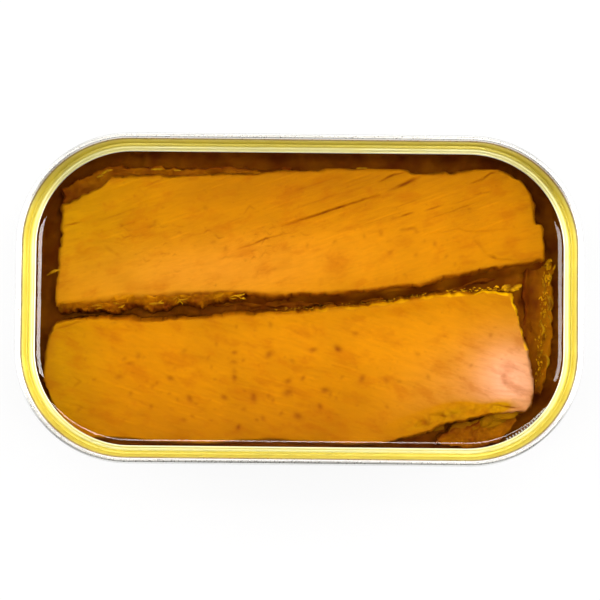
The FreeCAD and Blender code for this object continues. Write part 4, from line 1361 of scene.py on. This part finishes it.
            run = rng.uniform(1.5, 4.0) * MM
            path = [(x, y, z), (x + 0.4 * MM, y + run / 2, z + 0.2 * MM), (x - 0.2 * MM, y + run, z)]
            parts.append(shred(rng, path, rng.uniform(0.25, 0.5) * MM))
        return parts


class TUNA_OT_oil(bpy.types.Operator):
    """Fill the tin with oil up to its level, climbing to the torn edge all round"""
    bl_idname = "tuna.oil"
    bl_label = "Oil"

    def execute(self, context):
        tin = context.scene.tuna_tin
        oil = context.scene.tuna_oil
        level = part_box("oil")[1][2]
        torn = tin.rim_width
        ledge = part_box("end_ring")[1][2] - tin.ledge_depth
        contact = ledge - 0.1 * MM
        climb = contact - level
        # just into the wall, so that no air shows between the oil and the metal
        wall = 3 * (tin.gauge + tin.seam_gap) + tin.gauge
        into_wall = wall - 0.02 * MM
        under = ledge - tin.gauge - 0.03 * MM
        over_bend = tin.floor_radius + 0.1 * MM
        section = [(into_wall, over_bend), (into_wall, level), (wall + 0.6 * MM, level),
                   (torn - 0.3 * MM, under - 0.05 * MM), (torn + 0.02 * MM, under),
                   (torn + 0.01 * MM, contact)]
        # the curve of the oil's surface, in steps that grow towards its flat middle
        steps = 32
        flat_from = 9 * MM
        for step in range(1, steps + 1):
            away = flat_from * (step / steps) ** 2.2
            section.append((torn + away, level + climb * math.exp(-away / oil.meniscus)))
        self.fill(context, section, level, amber_oil(oil))
        return {"FINISHED"}

    def fill(self, context, section, level, material):
        """Sweep the edge of the oil and close its flat middle and its bottom."""
        points, normals = tin_outline(context, 48)
        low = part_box("oil")[0][2]
        tin = context.scene.tuna_tin
        section = [(tin.standing_ring, low), (section[0][0] + 2.0 * MM, low)] + section
        section = np.array(section)
        rounds = len(points)
        count = len(section)
        vertices = np.zeros((rounds, count, 3))
        for index in range(rounds):
            vertices[index, :, :2] = points[index] - normals[index] * section[:, :1]
            vertices[index, :, 2] = section[:, 1]
        vertices = np.concatenate([vertices.reshape(-1, 3), [[0, 0, low], [0, 0, level]]])
        bottom_middle = rounds * count
        top_middle = bottom_middle + 1
        faces = []
        for ring in range(rounds):
            here = ring * count
            beside = (ring + 1) % rounds * count
            for step in range(count - 1):
                faces.append((here + step + 1, here + step, beside + step, beside + step + 1))
            faces.append((here, bottom_middle, beside))
            faces.append((beside + count - 1, top_middle, here + count - 1))
        piece = make_object("amber_oil", vertices, faces, [material], smooth_angle=60)
        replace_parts(piece, "oil")


# ---------------------------------------------------------------- the stage


def background_share(tree):
    """1 where the background is seen, mirrored or seen through the oil, and 0 where it only gives light."""
    light = tree.nodes.new("ShaderNodeLightPath").outputs
    share = add_node(tree, "ShaderNodeMath", {0: light["Is Camera Ray"], 1: light["Is Glossy Ray"]},
                     operation="MAXIMUM")
    return add_node(tree, "ShaderNodeMath", {0: share, 1: light["Is Transmission Ray"]},
                    operation="MAXIMUM")


class TUNA_OT_stage(bpy.types.Operator):
    """Set the tin on a pale floor under soft boxes, with a camera almost straight above it"""
    bl_idname = "tuna.stage"
    bl_label = "Stage"

    def execute(self, context):
        self.floor()
        self.world(context)
        self.lamps()
        self.camera(context)
        context.scene.view_settings.view_transform = "Standard"
        return {"FINISHED"}

    def floor(self):
        """A pale card that reads as white away from the tin and keeps its shadow beside it."""
        mesh = bpy.data.meshes.new("floor")
        half = 2.0
        corners = [(-half, -half, 0), (half, -half, 0), (half, half, 0), (-half, half, 0)]
        mesh.from_pydata(corners, [], [(0, 1, 2, 3)])
        floor = bpy.data.objects.new("floor", mesh)
        bpy.context.collection.objects.link(floor)
        material, tree, output, where = new_material("pale card")
        seen = background_share(tree)
        card = add_node(tree, "ShaderNodeBsdfDiffuse", {"Color": shade(linear("F4F4F4"))})
        white = add_node(tree, "ShaderNodeEmission", {"Color": (1, 1, 1, 1), "Strength": 1.0})
        # near the tin a little of the card's own shade shows, and with it the tin's shadow
        away = add_node(tree, "ShaderNodeVectorMath", {0: where}, output="Value", operation="LENGTH")
        fade = add_node(tree, "ShaderNodeMapRange", {0: away, 1: 0.1, 2: 0.5, 3: 0.84, 4: 1.0})
        share = add_node(tree, "ShaderNodeMath", {0: seen, 1: fade}, operation="MULTIPLY")
        mixed = add_node(tree, "ShaderNodeMixShader", {0: share, 1: card, 2: white})
        tree.links.new(mixed, output.inputs[0])
        mesh.materials.append(material)

    def world(self, context):
        """White at the horizon. As light it is bright behind and beside the tin and dark overhead."""
        world = bpy.data.worlds.new("studio")
        context.scene.world = world
        world.use_nodes = True
        tree = world.node_tree
        tree.nodes.clear()
        output = tree.nodes.new("ShaderNodeOutputWorld")
        direction = add_node(tree, "ShaderNodeTexCoord", output="Generated")
        up = add_node(tree, "ShaderNodeSeparateXYZ", {0: direction}, output=2)
        back = add_node(tree, "ShaderNodeSeparateXYZ", {0: direction}, output=1)
        dark = 0.03
        overhead = add_node(tree, "ShaderNodeMapRange", {0: up, 1: 0.6, 2: 0.8, 3: 1.0, 4: dark})
        front = add_node(tree, "ShaderNodeMapRange", {0: back, 1: -0.8, 2: 0.0, 3: 0.2, 4: 1.0})
        level = add_node(tree, "ShaderNodeMath", {0: overhead, 1: front}, operation="MULTIPLY")
        level = add_node(tree, "ShaderNodeMath", {0: level, 1: STUDIO}, operation="MULTIPLY")
        # each soft light is full within 18 degrees of its middle and gone at 34 degrees
        for tilt, turn, strength in SOFT_LIGHTS:
            near = add_node(tree, "ShaderNodeVectorMath", {0: direction, 1: aim(tilt, turn)},
                            output="Value", operation="DOT_PRODUCT")
            glow = add_node(tree, "ShaderNodeMapRange", {0: near, 1: 0.83, 2: 0.95, 3: 0.0, 4: strength},
                            interpolation_type="SMOOTHSTEP")
            level = add_node(tree, "ShaderNodeMath", {0: level, 1: glow}, operation="ADD")
        # nothing shines from near the zenith but the strips, so the steep oil at the metal stays dark
        shut = add_node(tree, "ShaderNodeMapRange", {0: up, 1: 0.76, 2: 0.84, 3: 1.0, 4: dark})
        level = add_node(tree, "ShaderNodeMath", {0: level, 1: shut}, operation="MULTIPLY")
        # the white background, up to about 15 degrees over the horizon
        low = add_node(tree, "ShaderNodeMapRange", {0: up, 1: 0.22, 2: 0.3, 3: 1.0, 4: 0.0})
        seen = add_node(tree, "ShaderNodeMath", {0: background_share(tree), 1: low}, operation="MULTIPLY")
        strength = add_node(tree, "ShaderNodeMix", {0: seen, 2: level, 3: 1.0}, data_type="FLOAT")
        background = add_node(tree, "ShaderNodeBackground", {"Color": (1, 1, 1, 1), "Strength": strength})
        tree.links.new(background, output.inputs[0])

    def lamps(self):
        """Narrow strips high up, which draw the bright lines in the oil's curved edge."""
        for name, tilt, turn, distance, size, radiance in STRIPS:
            lamp = bpy.data.lights.new(name, "AREA")
            lamp.shape = "RECTANGLE"
            lamp.size, lamp.size_y = size
            lamp.energy = radiance * math.pi * size[0] * size[1]
            lamp.color = linear("FFF9F0")
            holder = bpy.data.objects.new(name, lamp)
            holder.location = aim(tilt, turn) * distance
            holder.rotation_euler = (-holder.location).to_track_quat("-Z", "Y").to_euler()
            bpy.context.collection.objects.link(holder)

    def camera(self, context):
        """Almost straight down, a little from the front and turned by half a degree."""
        top = cad_box[1][2]
        distance = 250 * MM
        tilt = Matrix.Rotation(math.radians(1.8), 4, "X")
        roll = Matrix.Rotation(math.radians(0.56), 4, "Z")
        camera = bpy.data.cameras.new("camera")
        camera.sensor_width = 36
        camera.lens = 81.7
        camera.clip_start = 10 * MM
        holder = bpy.data.objects.new("camera", camera)
        target = Vector((0.08 * MM, -0.23 * MM, top))
        place = Matrix.Translation(target + tilt @ Vector((0, 0, distance)))
        holder.matrix_world = place @ tilt @ roll
        bpy.context.collection.objects.link(holder)
        context.scene.camera = holder


class TUNA_PT_tin(bpy.types.Panel):
    """Buttons for each piece of the tin"""
    bl_idname = "TUNA_PT_tin"
    bl_label = "Tin of tuna"
    bl_space_type = "VIEW_3D"
    bl_region_type = "UI"
    bl_category = "Tuna tin"

    def draw(self, context):
        for operator in OPERATORS:
            self.layout.operator(operator.bl_idname)
        for settings in (context.scene.tuna_tin, context.scene.tuna_fish, context.scene.tuna_oil):
            for name in settings.__annotations__:
                self.layout.prop(settings, name)


OPERATORS = (TUNA_OT_body, TUNA_OT_rim, TUNA_OT_fillets, TUNA_OT_flakes, TUNA_OT_settled, TUNA_OT_crumbs,
             TUNA_OT_oil, TUNA_OT_stage)
CLASSES = (TinSettings, FishSettings, OilSettings, *OPERATORS, TUNA_PT_tin)


def register():
    for item in CLASSES:
        bpy.utils.register_class(item)
    bpy.types.Scene.tuna_tin = PointerProperty(type=TinSettings)
    bpy.types.Scene.tuna_fish = PointerProperty(type=FishSettings)
    bpy.types.Scene.tuna_oil = PointerProperty(type=OilSettings)


def unregister():
    del bpy.types.Scene.tuna_oil
    del bpy.types.Scene.tuna_fish
    del bpy.types.Scene.tuna_tin
    for item in reversed(CLASSES):
        bpy.utils.unregister_class(item)


def main():
    register()
    for operator in OPERATORS:
        group, name = operator.bl_idname.split(".")
        getattr(getattr(bpy.ops, group), name)()


if __name__ == "__main__":
    main()
